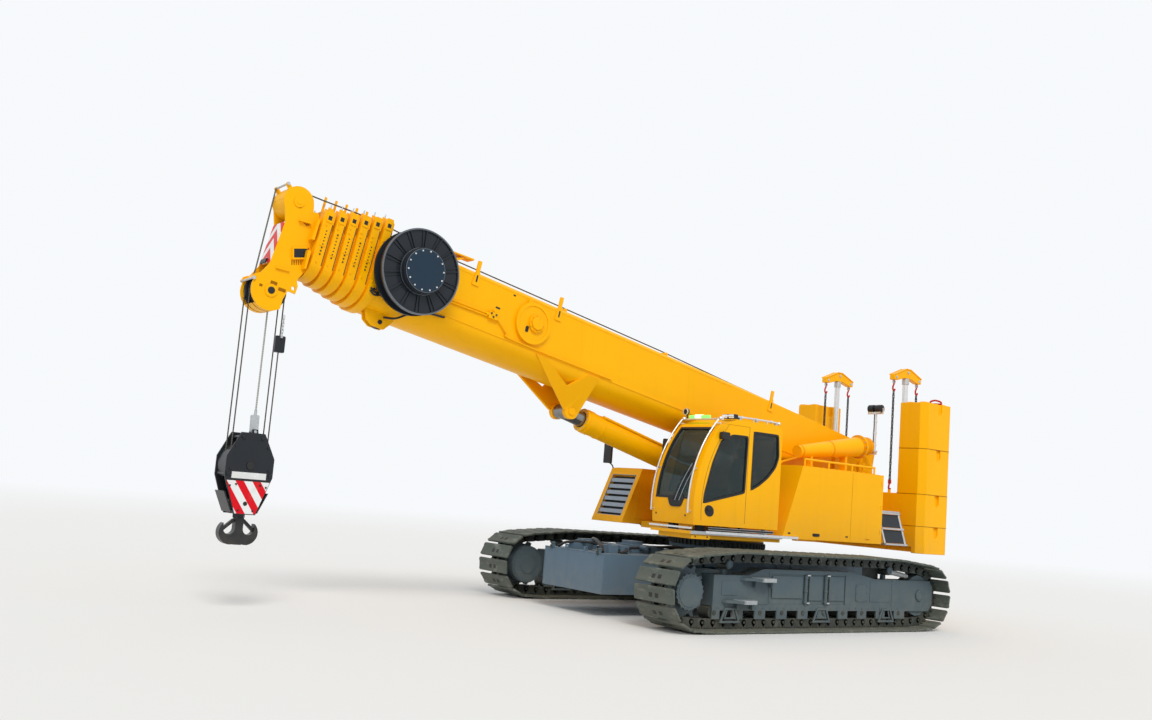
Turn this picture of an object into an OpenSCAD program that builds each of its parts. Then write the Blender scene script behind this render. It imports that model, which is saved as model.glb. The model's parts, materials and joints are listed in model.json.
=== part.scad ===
// Telescopic boom crawler crane, about 100 t class, parked with its boom low and drawn in
// X points forward along the boom, Y to the cab side, Z up; the origin is on the ground under the slewing axis

/* [Crawlers] */
// Distance between the middles of the two tracks
gauge = 3960; // [3900:10:4200]
// Length of a track over its shoes
track_len = 6245; // [6150:5:6400]
// Height of a track over its shoes
track_h = 1131; // [1115:1:1160]
// Width of a track shoe
shoe_w = 800; // [700:10:900]
// Thickness of a track shoe
shoe_t = 35; // [25:1:45]
// Wanted pitch of the track links
link_pitch = 205; // [180:1:240]
// Distance from a link pin to the shoe's sole
pin_depth = 120; // [115:1:130]
// Radius of the pin circle at the sprocket and the idler
pin_r = 400; // [380:1:410]
// Width of the side frame's box
frame_w = 280; // [270:2:300]
// Radius of a track roller
roller_r = 85; // [70:1:90]
// Number of track rollers in a side frame
roller_n = 10; // [8:1:11]

/* [Car body] */
// Width of the car body's box
body_w = 1460; // [1300:10:1500]
// Length of the car body's box
body_len = 5954; // [5400:10:5990]
// Height of the car body's underside
body_z0 = 334; // [300:2:360]
// Height of the car body's deck
body_z1 = 913; // [890:1:930]
// Height of a telescoping cross beam
beam_h = 300; // [240:5:320]
// Width of a telescoping cross beam
beam_w = 240; // [200:5:260]
// Outer radius of the slewing ring
ring_r = 800; // [720:5:860]

/* [Superstructure] */
// Width over the side covers
house_w = 3000; // [2900:10:3100]
// Height of the turntable's underside
deck_z = 1295; // [1285:1:1305]
// Thickness of the turntable's floor
deck_t = 100; // [60:2:104]
// Height of the side covers' tops
cover_top = 2475; // [2400:5:2520]
// Distance of the boom pivot behind the slewing axis
pivot_back = 3082; // [3040:2:3110]
// Height of the boom pivot
pivot_z = 2653; // [2630:1:2680]
// Thickness of a turntable web
web_t = 45; // [30:1:55]

/* [Counterweight] */
// Distance of the counterweight's front face behind the slewing axis
ballast_back = 3456; // [3440:1:3500]
// Depth of the counterweight along the crane
ballast_depth = 745; // [720:5:780]
// Width of the counterweight
ballast_w = 3028; // [2960:2:3080]
// Width of one upper block
block_w = 534; // [500:2:540]
// Height of the lowest block's underside
ballast_z = 1196; // [1190:1:1210]

/* [Cab] */
// Height of the cab's roof
cab_top = 3050; // [2990:5:3080]
// Width of the cab
cab_w = 900; // [860:5:920]
// Wall thickness of the cab
cab_wall = 45; // [35:1:55]
// Largest backward tilt of the cab in degrees
cab_tilt = 20; // [10:1:20]

/* [Boom] */
// Angle of the boom above level in degrees
boom_angle = 10.1; // [9:0.1:12]
// Half width of the boom's base section
boom_half_w = 420; // [410:1:430]
// Height of the base section above the pivot line
boom_top = 495; // [490:1:510]
// Depth of the base section's side seam under the pivot line
boom_seam = 276; // [260:1:290]
// Depth of the base section's belly under the pivot line
boom_belly = 540; // [536:1:550]
// Wall thickness of a boom section
boom_wall = 10; // [8:1:12]
// Step from one section to the next inner one
nest = 30; // [28:1:34]
// Length of the base section in front of the pivot
base_len = 10180; // [10000:10:10300]
// Step between the front collars of two sections
collar_step = 150; // [140:1:160]
// Play between a section and the bearing lip around it
lip_gap = 0.4; // [0.3:0.1:1]

/* [Luffing cylinder] */
// Radius of the cylinder's barrel
barrel_r = 178; // [160:1:180]
// Radius of the cylinder's rod
rod_r = 115; // [100:1:120]
// Distance of the base pin behind the slewing axis
ram_back = 2500; // [2480:5:2510]
// Height of the base pin
ram_z = 1450; // [1445:1:1455]

/* [Head and hook] */
// Radius of a head sheave
head_sheave_r = 225; // [215:1:230]
// Radius of the hoist rope
rope_r = 10; // [8:0.5:12]
// Height of the hook block's top
block_top = 2150; // [2000:10:2200]
// Height of the hook's lowest point
hook_low = 790; // [750:5:850]

/* [Hidden] */

seat = 0.3;
play = 5;
yellow = "#ffb400";
frame_blue = "#5f7888";
track_grey = "#3f4541";
steel = "#b9bdbf";
black = "#25282b";
glass_tint = [0.25, 0.35, 0.33, 0.6];

// plain helpers
function norm2(v) = sqrt(v[0] * v[0] + v[1] * v[1]);
function polar(r, a) = [r * cos(a), r * sin(a)];

// an outline in the XZ plane, made solid between two Y values
module slab_y(outline, y0, y1) {
    translate([0, y1, 0]) rotate([90, 0, 0]) linear_extrude(y1 - y0) polygon(outline);
}

// a cylinder along Y between two Y values
module pin_y(x, z, r, y0, y1) {
    translate([x, y1, z]) rotate([90, 0, 0]) cylinder(h = y1 - y0, r = r, $fn = 48);
}

// a box from one corner to the opposite one
module box(a, b) {
    translate(a) cube([b[0] - a[0], b[1] - a[1], b[2] - a[2]]);
}

// a round bar from point p to point q
module bar(p, q, r, fn = 24) {
    v = q - p;
    len = norm(v);
    translate(p) rotate([0, acos(v[2] / len), atan2(v[1], v[0])]) cylinder(h = len, r = r, $fn = fn);
}

// the left crawler's pieces serve the right one by mirroring
module right() { mirror([0, 1, 0]) children(); }

// what stands on the left also stands on the right
module both_sides() {
    children();
    right() children();
}

// track: the pin line runs level on the ground, round the sprocket, over the carriers and round the idler
end_r = pin_r + pin_depth;
end_x = track_len / 2 - end_r;
end_lift = 20;
end_z = end_r + end_lift;
carrier_inset = 782.5;
carrier_x = end_x - carrier_inset;
ground_inset = 352.5;
ground_x = end_x - ground_inset;
top_z = track_h - pin_depth;
rise_d = norm2([end_x - ground_x, end_z - pin_depth]);
rise_a = atan2(end_z - pin_depth, end_x - ground_x) - asin(pin_r / rise_d);
fall_d = norm2([carrier_x - end_x, top_z - end_z]);
fall_a = atan2(top_z - end_z, carrier_x - end_x) + asin(pin_r / fall_d);
rise_len = sqrt(rise_d * rise_d - pin_r * pin_r);
fall_len = sqrt(fall_d * fall_d - pin_r * pin_r);
arc_len = pin_r * (fall_a - rise_a) * PI / 180;
// columns: length of the stretch, its first heading, its turn
path = [[2 * ground_x, 0, 0], [rise_len, rise_a, 0], [arc_len, rise_a, fall_a - rise_a],
    [fall_len, fall_a, 0], [2 * carrier_x, 180, 0], [fall_len, 360 - fall_a, 0],
    [arc_len, 360 - fall_a, fall_a - rise_a], [rise_len, 360 - rise_a, 0]];
function path_len(i = 0) = i == len(path) ? 0 : path[i][0] + path_len(i + 1);
function step_along(p, head, turn, len) = turn == 0 ? p + polar(len, head)
    : let (r = len / (turn * PI / 180)) p + polar(r, head + turn - 90) - polar(r, head - 90);
function pin_at(s, i = 0, p = [-ground_x, pin_depth]) = s <= path[i][0] || i == len(path) - 1
    ? step_along(p, path[i][1], path[i][2] * s / path[i][0], s)
    : pin_at(s - path[i][0], i + 1, step_along(p, path[i][1], path[i][2], path[i][0]));
link_n = round(path_len() / link_pitch);
pins = [for (k = [0 : link_n - 1]) pin_at(path_len() * k / link_n)];
function link_a(k) = let (d = pins[(k + 1) % link_n] - pins[k]) atan2(d[1], d[0]);
function link_l(k) = norm2(pins[(k + 1) % link_n] - pins[k]);
link_in = 55;
link_out = pin_depth - shoe_t;
rail_y0 = 50;
rail_y1 = 108;
// a ring of link corners at a distance outside the pin line
function link_ring(d) = [for (k = [0 : link_n - 1])
    let (a = (link_a(k) + link_a((k + link_n - 1) % link_n)) / 2
        + (link_a(k) < link_a((k + link_n - 1) % link_n) - 180 ? 180 : 0)) pins[k] + polar(d, a - 90)];
shoe_gap = 14;

module link_rail(y0) {
    translate([0, y0 + rail_y1 - rail_y0, 0]) rotate([90, 0, 0]) linear_extrude(rail_y1 - rail_y0)
        difference() {
            polygon(link_ring(link_out + 2));
            polygon(link_ring(-link_in));
        }
}

module left_track() {
    color(track_grey) translate([0, gauge / 2, 0]) {
        link_rail(rail_y0);
        link_rail(-rail_y1);
        translate([0, shoe_w / 2, 0]) rotate([90, 0, 0]) linear_extrude(shoe_w)
            for (k = [0 : link_n - 1]) translate(pins[k]) rotate(link_a(k))
                translate([shoe_gap / 2, -pin_depth]) square([link_l(k) - shoe_gap, shoe_t]);
    }
}
module right_track() { right() left_track(); }

// wheel radius that just seats inside the link rails
wheel_r = pin_r * cos(90 * link_pitch / (PI * pin_r)) - link_in - 6;
sprocket_teeth = 12;

module left_sprocket() {
    color(frame_blue) translate([end_x, gauge / 2, end_z]) rotate([90, 0, 0]) {
        translate([0, 0, -rail_y0 + play]) linear_extrude(2 * (rail_y0 - play)) {
            circle(r = wheel_r, $fn = 60);
            for (k = [0 : sprocket_teeth - 1]) rotate(k * 360 / sprocket_teeth)
                polygon([[wheel_r - 20, -45], [pin_r - 10, -20], [pin_r - 10, 20], [wheel_r - 20, 45]]);
        }
        translate([0, 0, -185]) cylinder(h = 145, r = 215, $fn = 60);
        translate([0, 0, -185]) linear_extrude(22) {
            circle(r = 238, $fn = 60);
            for (k = [0 : 19]) rotate(k * 18) translate([238, 0]) circle(r = 15, $fn = 12);
        }
    }
}
module right_sprocket() { right() left_sprocket(); }

module left_idler() {
    color(frame_blue) translate([-end_x, gauge / 2, end_z]) rotate([90, 0, 0]) {
        translate([0, 0, -rail_y1]) cylinder(h = 2 * rail_y1, r = wheel_r, $fn = 60);
        translate([0, 0, -(frame_w / 2 - plate_t - seat)])
            cylinder(h = frame_w - 2 * (plate_t + seat), r = 90, $fn = 32);
    }
}
module right_idler() { right() left_idler(); }

// track rollers stand on the lower rails, carriers hold the upper run
plate_t = 24;
roller_z = pin_depth + link_in + seat + roller_r;
roller_inset = 170;
roller_span = 2 * (ground_x - roller_inset);
carrier_r = 50;
upper_in = link_ring(-link_in);
// the highest place of a carrier's axis under every link of the upper run
function carrier_z(x) = min([for (k = [0 : link_n - 1]) let (a = upper_in[k], b = upper_in[(k + 1) % link_n])
    if (a[0] > b[0] && min(a[1], b[1]) > end_z)
        a[1] + (x - a[0]) * (b[1] - a[1]) / (b[0] - a[0]) - (carrier_r + seat) / abs(cos(link_a(k)))]);
frame_low = 290;
frame_front = roller_span / 2 + 40;

module left_rollers() {
    color(track_grey) translate([0, gauge / 2, 0]) {
        for (k = [0 : roller_n - 1]) let (x = -roller_span / 2 + roller_span * k / (roller_n - 1)) {
            pin_y(x, roller_z, roller_r, -rail_y1, rail_y1);
            pin_y(x, roller_z, 30, -frame_w / 2 + plate_t + seat, frame_w / 2 - plate_t - seat);
        }
        for (x = [-carrier_x, carrier_x]) pin_y(x, carrier_z(x), carrier_r, -rail_y1, rail_y1);
    }
}
module right_rollers() { right() left_rollers(); }

// side frame: a box inside the track, roller cheeks under it, idler cheeks behind, a drive flange in front
frame_top = 780;
frame_crown = 880;
frame_back = -roller_span / 2 - 100;
crown_x0 = -890;
crown_x1 = 1120;
frame_in = gauge / 2 - frame_w / 2;
flange_out = gauge / 2 - rail_y1 - play;
cheek_back = end_x + 368;
left_beams = [1150, -850];
right_beams = [850, -1150];
beam_z = 470;
beam_end = -150;
module side_frame(beams) {
    crown = [[frame_back, frame_low + 60], [frame_back, frame_top], [crown_x0 - 580, frame_top], [crown_x0, frame_crown],
        [crown_x1, frame_crown], [crown_x1 + 310, frame_top], [frame_front, frame_top], [frame_front, frame_low + 60]];
    color(frame_blue) {
        translate([0, gauge / 2, 0]) {
            difference() {
                slab_y(crown, -frame_w / 2, frame_w / 2);
                box([crown_x0 + 170, frame_w / 2 - 12, frame_low + 90], [crown_x1 - 140, frame_w / 2 + 1, frame_crown - 60]);
            }
            for (y = [-frame_w / 2, frame_w / 2 - plate_t]) {
                difference() {
                    box([frame_back - 60, y, 170], [frame_front, y + plate_t, frame_low + 61]);
                    for (k = [0 : roller_n - 2])
                        let (x = -roller_span / 2 + roller_span * (k + 0.5) / (roller_n - 1))
                        box([x - 120, y - 1, 169], [x + 120, y + plate_t + 1, frame_low]);
                }
                slab_y([[-cheek_back, end_z - 140], [-cheek_back, end_z + 140], [-cheek_back + 80, frame_top],
                    [frame_back + 1, frame_top], [frame_back + 1, frame_low], [-cheek_back + 90, frame_low]],
                    y, y + plate_t);
            }
            for (x = [-carrier_x, carrier_x])
                box([x - 35, -30, frame_top - 1], [x + 35, 30, carrier_z(x) - carrier_r - seat]);
        }
        // drive flange on the inner side
        difference() {
            union() {
                slab_y([[frame_front - 1, frame_low + 60], [frame_front - 1, frame_top],
                    [end_x, end_z + 240], [end_x, end_z - 190]], frame_in, flange_out);
                pin_y(end_x, end_z, 290, frame_in, flange_out);
            }
            pin_y(end_x, end_z, 120, frame_in - 1, flange_out + 1);
        }
        // cross beams reach into the car body
        for (x = beams)
            box([x - beam_w / 2, beam_end, beam_z], [x + beam_w / 2, frame_in + 1, beam_z + beam_h]);
    }
}
module left_side_frame() { side_frame(left_beams); }
module right_side_frame() { right() side_frame(right_beams); }

module left_final_drive() {
    color(frame_blue) {
        pin_y(end_x, end_z, 300, frame_in - seat - 130, frame_in - seat);
        pin_y(end_x, end_z, 265, frame_in - 150, frame_in - 130);
        pin_y(end_x, end_z, 110, frame_in - 50, gauge / 2 - rail_y0 + play - seat);
    }
}
module right_final_drive() { right() left_final_drive(); }

// car body: a long box with four beam sleeves and a round pedestal for the slewing ring
ring_z = 1090;
module car_body() {
    color(frame_blue) difference() {
        union() {
            box([-body_len / 2, -body_w / 2, body_z0], [body_len / 2, body_w / 2, body_z1]);
            translate([0, 0, body_z1 - 1]) cylinder(h = ring_z - body_z1 + 1, r = ring_r - 60, $fn = 72);
        }
        for (x = concat(left_beams, right_beams))
            box([x - beam_w / 2 - play, -body_w, beam_z - seat], [x + beam_w / 2 + play, body_w, beam_z + beam_h + play]);
        translate([0, 0, body_z1]) cylinder(h = ring_z, r = ring_r - 260, $fn = 72);
    }
    color(frame_blue) for (y = [-230, 230]) translate([body_len / 2 - 40, y, body_z1 - 1]) {
        difference() {
            box([-30, -12, 0], [30, 12, 70]);
            translate([0, 20, 40]) rotate([90, 0, 0]) cylinder(h = 40, r = 14, $fn = 24);
        }
    }
}

ring_teeth = 60;
ring_h = 110;
module slew_ring() {
    color(steel) translate([0, 0, ring_z + seat]) difference() {
        union() {
            cylinder(h = ring_h, r = ring_r - 30, $fn = 72);
            linear_extrude(ring_h - 30) for (k = [0 : ring_teeth - 1]) rotate(k * 360 / ring_teeth)
                polygon([[ring_r - 40, -24], [ring_r, -11], [ring_r, 11], [ring_r - 40, 24]]);
        }
        translate([0, 0, -1]) cylinder(h = ring_h + 2, r = ring_r - 180, $fn = 72);
    }
}

// turntable: floor, two webs that hold the boom pivot, the ram's lugs and the rear beam with the ballast tray
pivot_x = -pivot_back;
web_in = boom_half_w + 40;
ram_x = -ram_back;
boom_pin_r = 90;
ram_pin_r = 60;
deck_top = deck_z + deck_t;
ring_top = ring_z + seat + ring_h;
ballast_x1 = -ballast_back;
ballast_x0 = -ballast_back - ballast_depth;
tray_top = ballast_z + 104 - seat;
rear_beam_z = 1640;
floor_half = 620;
ram_lug_in = 132;
module turntable() {
    web = [[900, deck_top - 1], [500, 1760], [-900, 2560], [pivot_x + 420, pivot_z + 360],
        [pivot_x + 150, pivot_z + 360], [pivot_x - 180, pivot_z + 250], [pivot_x - 270, pivot_z],
        [pivot_x - 270, 1900], [ballast_x1 + 30, deck_top - 1]];
    color(yellow) difference() {
        union() {
            box([ballast_x1 - 1, -floor_half, deck_z], [1150, floor_half, deck_top]);
            translate([0, 0, ring_top + seat]) cylinder(h = deck_z - ring_top - seat + 1, r = ring_r - 40, $fn = 72);
            both_sides() {
                slab_y(web, web_in, web_in + web_t);
                pin_y(pivot_x, pivot_z, 190, web_in - 25, web_in + web_t + 30);
                slab_y([[ram_x - 160, deck_top - 1], [ram_x - 110, ram_z + 40], [ram_x - 50, ram_z + 110],
                    [ram_x + 50, ram_z + 110], [ram_x + 110, ram_z + 40], [ram_x + 160, deck_top - 1]],
                    ram_lug_in, ram_lug_in + 50);
            }
            // rear beam and ballast tray
            box([ballast_x0 + 190, -rear_half, deck_z], [ballast_x1, rear_half, rear_beam_z]);
            box([ballast_x0 + 120, -tray_half, tray_top - 44], [ballast_x1 - 60, tray_half, tray_top]);
        }
        // the cylinder sinks into a slot in the floor when the boom is level
        box([ram_x - 140, 1 - ram_lug_in, deck_z - 1], [ram_x + 400, ram_lug_in - 1, deck_top + 1]);
        box([ram_x + 380, -barrel_r - 2 * play, deck_z - 1], [ram_x + 1560, barrel_r + 2 * play, deck_top + 1]);
        pin_y(pivot_x, pivot_z, boom_pin_r + seat, -800, 800);
        pin_y(ram_x, ram_z, ram_pin_r + seat, -300, 300);
        for (y = [-ram_pos_y, ram_pos_y]) translate([ram_pos_x, y, rear_beam_z - 120])
            cylinder(h = 200, r = lift_r + seat, $fn = 32);
    }
    color(steel) pin_y(ram_x, ram_z, ram_pin_r, -200, 200);
}
tray_half = 1300;
rear_half = 900;
ram_pos_x = ballast_x0 + 371;
ram_pos_y = 790;
lift_r = 50;

platform_top = 1345;
platform_x1 = 2050;
cab_floor = 1434;
hinge_pin_r = 16;
cab_hinge_x = 300;
cab_hinge_z = 1392;
cab_hinge_y = [800, 1300];
module cab_platform() {
    color(steel) {
        box([100, cab_in + 40, deck_z + play], [platform_x1, cover_out + 20, platform_top]);
        box([100, floor_half + seat, deck_z + play], [1100, cab_in + 41, platform_top]);
        for (y = cab_hinge_y) {
            for (side = [-1, 1]) let (y0 = y + side * 35) {
                box([cab_hinge_x - 30, y0 - 15, platform_top - 1], [cab_hinge_x + 30, y0 + 15, cab_hinge_z]);
                pin_y(cab_hinge_x, cab_hinge_z, 30, y0 - 15, y0 + 15);
            }
            pin_y(cab_hinge_x, cab_hinge_z, hinge_pin_r, y - 60, y + 60);
        }
    }
    color(black) for (y = [760, 1340]) box([1640, y - 50, platform_top - 1], [1760, y + 50, cab_floor - play]);
}

// side covers: closed housings with a raked front that the tilting cab clears
cover_out = house_w / 2;
cover_in = 640;
cover_low = 1320;
cover_back = -2376;
intake_y = 800;
intake_x = [-950, -2560];
intake_z = [2750, 2975];
intake_r = [105, 175];
intake_tilt = atan2(intake_z[1] - intake_z[0], intake_x[0] - intake_x[1]);
intake_len = norm2([intake_x[0] - intake_x[1], intake_z[1] - intake_z[0]]);
// the intake pipe: a tapered tube with a flange at its wide end, on two saddles that stand on the cover
module intake_pipe() {
    translate([intake_x[0], intake_y, intake_z[0]]) rotate([0, -90 + intake_tilt, 0]) {
        cylinder(h = intake_len, r1 = intake_r[0], r2 = intake_r[1], $fn = 40);
        translate([0, 0, intake_len - 30]) cylinder(h = 30, r = intake_r[1] + 35, $fn = 40);
    }
    for (x = [-1250, -2150]) box([x - 25, intake_y - 70, cover_top - 1], [x + 25, intake_y + 70, intake_z[0] + 40]);
}
module left_cover() {
    outline = [[85, cover_low], [cover_back, cover_low], [cover_back, cover_top], [-320, cover_top]];
    color(yellow) difference() {
        slab_y(outline, cover_in, cover_out);
        box([-1566, cover_out - 8, cover_low + 20], [-1558, cover_out + 1, cover_top - 20]);
        for (x = [-700, -2000]) box([x - 60, cover_out - 20, cover_low + 50], [x + 60, cover_out + 1, cover_low + 70]);
    }
    color(yellow) intake_pipe();
    color(yellow) for (x = [-200, -1200, -2200]) box([x - 50, floor_half + seat, cover_low - 1], [x + 50, cover_in + 1, deck_top - 10]);
}

hood_front = 700;
module right_cover() {
    outline = [[hood_front, cover_low], [cover_back, cover_low], [cover_back, cover_top - 120],
        [cover_back + 150, cover_top], [-233, cover_top], [200, cowl_top], [hood_front, cowl_top]];
    color(yellow) difference() {
        slab_y(outline, -cover_out, -cover_in - 30);
        slab_y([[hood_front - 60, cover_low - 1], [-1500, cover_low - 1], [-1500, cowl_top - 80], [hood_front - 60, cowl_top - 80]],
            -cover_out + 40, -cover_in - 70);
    }
    color(yellow) for (x = [300, -1200, -2200]) box([x - 50, -cover_in - 31, cover_low], [x + 50, -floor_half - seat, deck_top - 10]);
}
cowl_top = 2250;
cowl_x1 = 1500;
cowl_rake = 370;
cowl_y0 = -1500;
cowl_y1 = -700;
cowl_low = 1340;
module front_cowl() {
    outline = [[hood_front + seat, cowl_low], [hood_front + seat, cowl_top],
        [cowl_x1 - cowl_rake, cowl_top], [cowl_x1, cowl_low + 20], [cowl_x1, cowl_low]];
    color(yellow) difference() {
        slab_y(outline, cowl_y0, cowl_y1);
        translate([cowl_x1, 0, cowl_low]) rotate([0, -atan2(cowl_rake, cowl_top - cowl_low - 20), 0])
            box([-60, cowl_y0 + 90, 120], [40, cowl_y1 - 90, 860]);
        slab_y([[hood_front - 1, cowl_low + 60], [hood_front - 1, cowl_top - 60], [cowl_x1 - cowl_rake - 120, cowl_top - 60],
            [cowl_x1 - 200, cowl_low + 60]], cowl_y0 + 60, cowl_y1 - 60);
    }
    color(yellow) box([850, cowl_y1 - 1, cowl_low], [1000, -floor_half - seat, deck_top - 10]);
}
louvre_n = 7;
module cowl_grille() {
    color(steel) translate([cowl_x1, 0, cowl_low]) rotate([0, -atan2(cowl_rake, cowl_top - cowl_low - 20), 0]) {
        difference() {
            box([-40, cowl_y0 + 90 + seat, 120 + seat], [-5, cowl_y1 - 90 - seat, 860 - seat]);
            box([-41, cowl_y0 + 120, 150], [0, cowl_y1 - 120, 830]);
        }
        for (k = [0 : louvre_n - 1]) translate([-22, 0, 160 + k * 95]) rotate([0, 35, 0])
            box([-4, cowl_y0 + 119, 0], [4, cowl_y1 - 119, 60]);
    }
}
module engine() {
    color(black) {
        box([-1350, -1400, deck_z + play], [500, -780, 2080]);
        for (x = [-1200, 350]) box([x - 60, -781, deck_z + play], [x + 60, -floor_half - seat, cover_low - seat]);
    }
}

rail_z = 2590;
module handrails() {
    color(yellow) both_sides() {
        for (x = [-420, -1010, -1600, -2190]) bar([x, cover_out - 60, cover_top + seat], [x, cover_out - 60, rail_z], 16);
        bar([-410, cover_out - 60, rail_z], [-2200, cover_out - 60, rail_z], 17);
    }
}

ladder_x1 = cover_back - 20;
module ladder() {
    color(steel) {
        for (x = [ladder_x1 - 60, ladder_x1 - 620]) bar([x, 1330, 1880], [x - 60, 1480, 1310], 22);
        for (z = [1330, 1590, 1850]) let (y = 1480 - (z - 1310) * 150 / 570, x = ladder_x1 - 60 - 60 * (1880 - z) / 570)
            box([x - 580, y - 70, z - 14], [x + 20, y + 40, z + 14]);
        box([ladder_x1 - 640, 1270, 1868], [ladder_x1 - 30, 1360, 1890]);
        bar([ladder_x1 - 60, 1310, 1875], [cover_back - seat, 1310, 1875], 14);
    }
}

winch_x = -3000;
winch_z = 1800;
module winch() {
    color(black) {
        pin_y(winch_x, winch_z, 190, -330, 330);
        for (y = [-350, 320]) pin_y(winch_x, winch_z, 250, y, y + 30);
        pin_y(winch_x, winch_z, 80, -web_in + seat, web_in - seat);
    }
}

mast_x = -3000;
mast_y = 790;
mast_z = [2925, 3640];
lamp_z = 3700;
lamp_r = 70;
module lamp_mast() {
    color(steel) {
        box([mast_x - 40, web_in + web_t + seat, mast_z[0] - 50], [mast_x + 40, mast_y + 30, mast_z[0]]);
        bar([mast_x, mast_y, mast_z[0] - 1], [mast_x, mast_y, mast_z[1]], 28);
        box([mast_x - 25, mast_y - 110, mast_z[1] - 25], [mast_x + 25, mast_y + 110, mast_z[1]]);
    }
    color(black) for (y = [mast_y - 80, mast_y + 80]) pin_y(mast_x, lamp_z, lamp_r, y - 55, y + 55);
}

// counterweight: two full-width blocks and two pairs of upper blocks
ballast_1 = 1670;
ballast_2 = 2232;
ballast_3 = 3039;
ballast_4 = 3864;
corner = 110;
// plan outline of a block with cut front corners on its outer side
function block_plan(y0, y1, c0, c1) = [[ballast_x0, y0], [ballast_x0, y1], [ballast_x1 - c1, y1], [ballast_x1, y1 - c1],
    [ballast_x1, y0 + c0], [ballast_x1 - c0, y0]];
lug_w = 130;
lug_h = 200;
// a lifting pocket in the side face, open at the block's top
module pocket(y, z_top) {
    translate([(ballast_x0 + ballast_x1) / 2 - 60, y, z_top]) {
        translate([-lug_w / 2, -40, -lug_h + lug_w / 2]) cube([lug_w, 80, lug_h]);
        translate([0, 40, -lug_h + lug_w / 2]) rotate([90, 0, 0]) cylinder(h = 80, r = lug_w / 2, $fn = 32);
    }
}
module ballast_lower() {
    half = ballast_w / 2;
    color(yellow) difference() {
        translate([0, 0, ballast_z]) linear_extrude(ballast_1 - ballast_z)
            polygon(block_plan(-half, half, corner, corner));
        box([ballast_x0 + 120, -rear_half - 20, ballast_z - 1], [ballast_x1 + 1, rear_half + 20, ballast_1 + 1]);
        box([ballast_x0 + 110, -tray_half - 20, ballast_z - 1], [ballast_x1 + 1, tray_half + 20, ballast_z + 104]);
        for (s = [-1, 1]) pocket(s * half, ballast_1);
    }
}
module ballast_middle() {
    half = ballast_w / 2;
    color(yellow) difference() {
        translate([0, 0, ballast_1 + seat]) linear_extrude(ballast_2 - ballast_1 - seat)
            polygon(block_plan(-half, half, corner, corner));
        for (s = [-1, 1]) translate([ram_pos_x, s * ram_pos_y, ballast_1 - 1])
            cylinder(h = ballast_2, r = lift_r + 15, $fn = 32);
        for (s = [-1, 1]) pocket(s * half, ballast_2);
    }
    color(steel) for (y = [-ram_pos_y, ram_pos_y], x = [ram_pos_x - chain_dx, ram_pos_x + chain_dx])
        box([x - 25, y - 15, ballast_2 - 1], [x + 25, y + 15, ballast_2 + 60]);
}
module block_pair() {
    y1 = ballast_w / 2;
    y0 = y1 - block_w;
    // columns: underside, top
    for (z = [[ballast_2 + seat, ballast_3], [ballast_3 + seat, ballast_4]]) difference() {
        translate([0, 0, z[0]]) linear_extrude(z[1] - z[0]) polygon(block_plan(y0, y1, 0, corner));
        pocket(y1, z[1]);
        pocket(y0, z[1]);
    }
}
module ballast_left() { color(yellow) block_pair(); }
module ballast_right() { color(yellow) right() block_pair(); }

lift_top = 4350;
module ballast_rams() {
    color(steel) for (s = [-1, 1]) translate([ram_pos_x, s * ram_pos_y, rear_beam_z - 120 + seat])
        cylinder(h = lift_top - rear_beam_z + 120 - seat, r = lift_r, $fn = 32);
}
chain_dx = 340;
module ballast_beams() {
    color(yellow) for (s = [-1, 1]) slab_y([
        [ram_pos_x - chain_dx - 60, lift_top - 60], [ram_pos_x - chain_dx - 60, lift_top + 40],
        [ram_pos_x - 60, lift_top + 180], [ram_pos_x + 60, lift_top + 180],
        [ram_pos_x + chain_dx + 60, lift_top + 40], [ram_pos_x + chain_dx + 60, lift_top - 60],
        [ram_pos_x + chain_dx - 40, lift_top - 60], [ram_pos_x + 90, lift_top + seat], [ram_pos_x - 90, lift_top + seat],
        [ram_pos_x - chain_dx + 40, lift_top - 60]], s * ram_pos_y - 55, s * ram_pos_y + 55);
}
module ballast_chains() {
    color("#8c2b20") for (y = [-ram_pos_y, ram_pos_y], x = [ram_pos_x - chain_dx, ram_pos_x + chain_dx])
        bar([x, y, lift_top - 60 - seat], [x, y, ballast_2 + 60 + seat], 16);
}

// cab: a shell with a curved raked front, hollow, with cut windows
cab_in = house_w / 2 - cab_w;
cab_out = house_w / 2;
nose_x = 2011;
nose_z = 1720;
nose_r = 1843;
cab_rear = 200;
function front_x(z, inset = 0) = nose_x - nose_r + sqrt((nose_r - inset) * (nose_r - inset) - (z - nose_z) * (z - nose_z));
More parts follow.
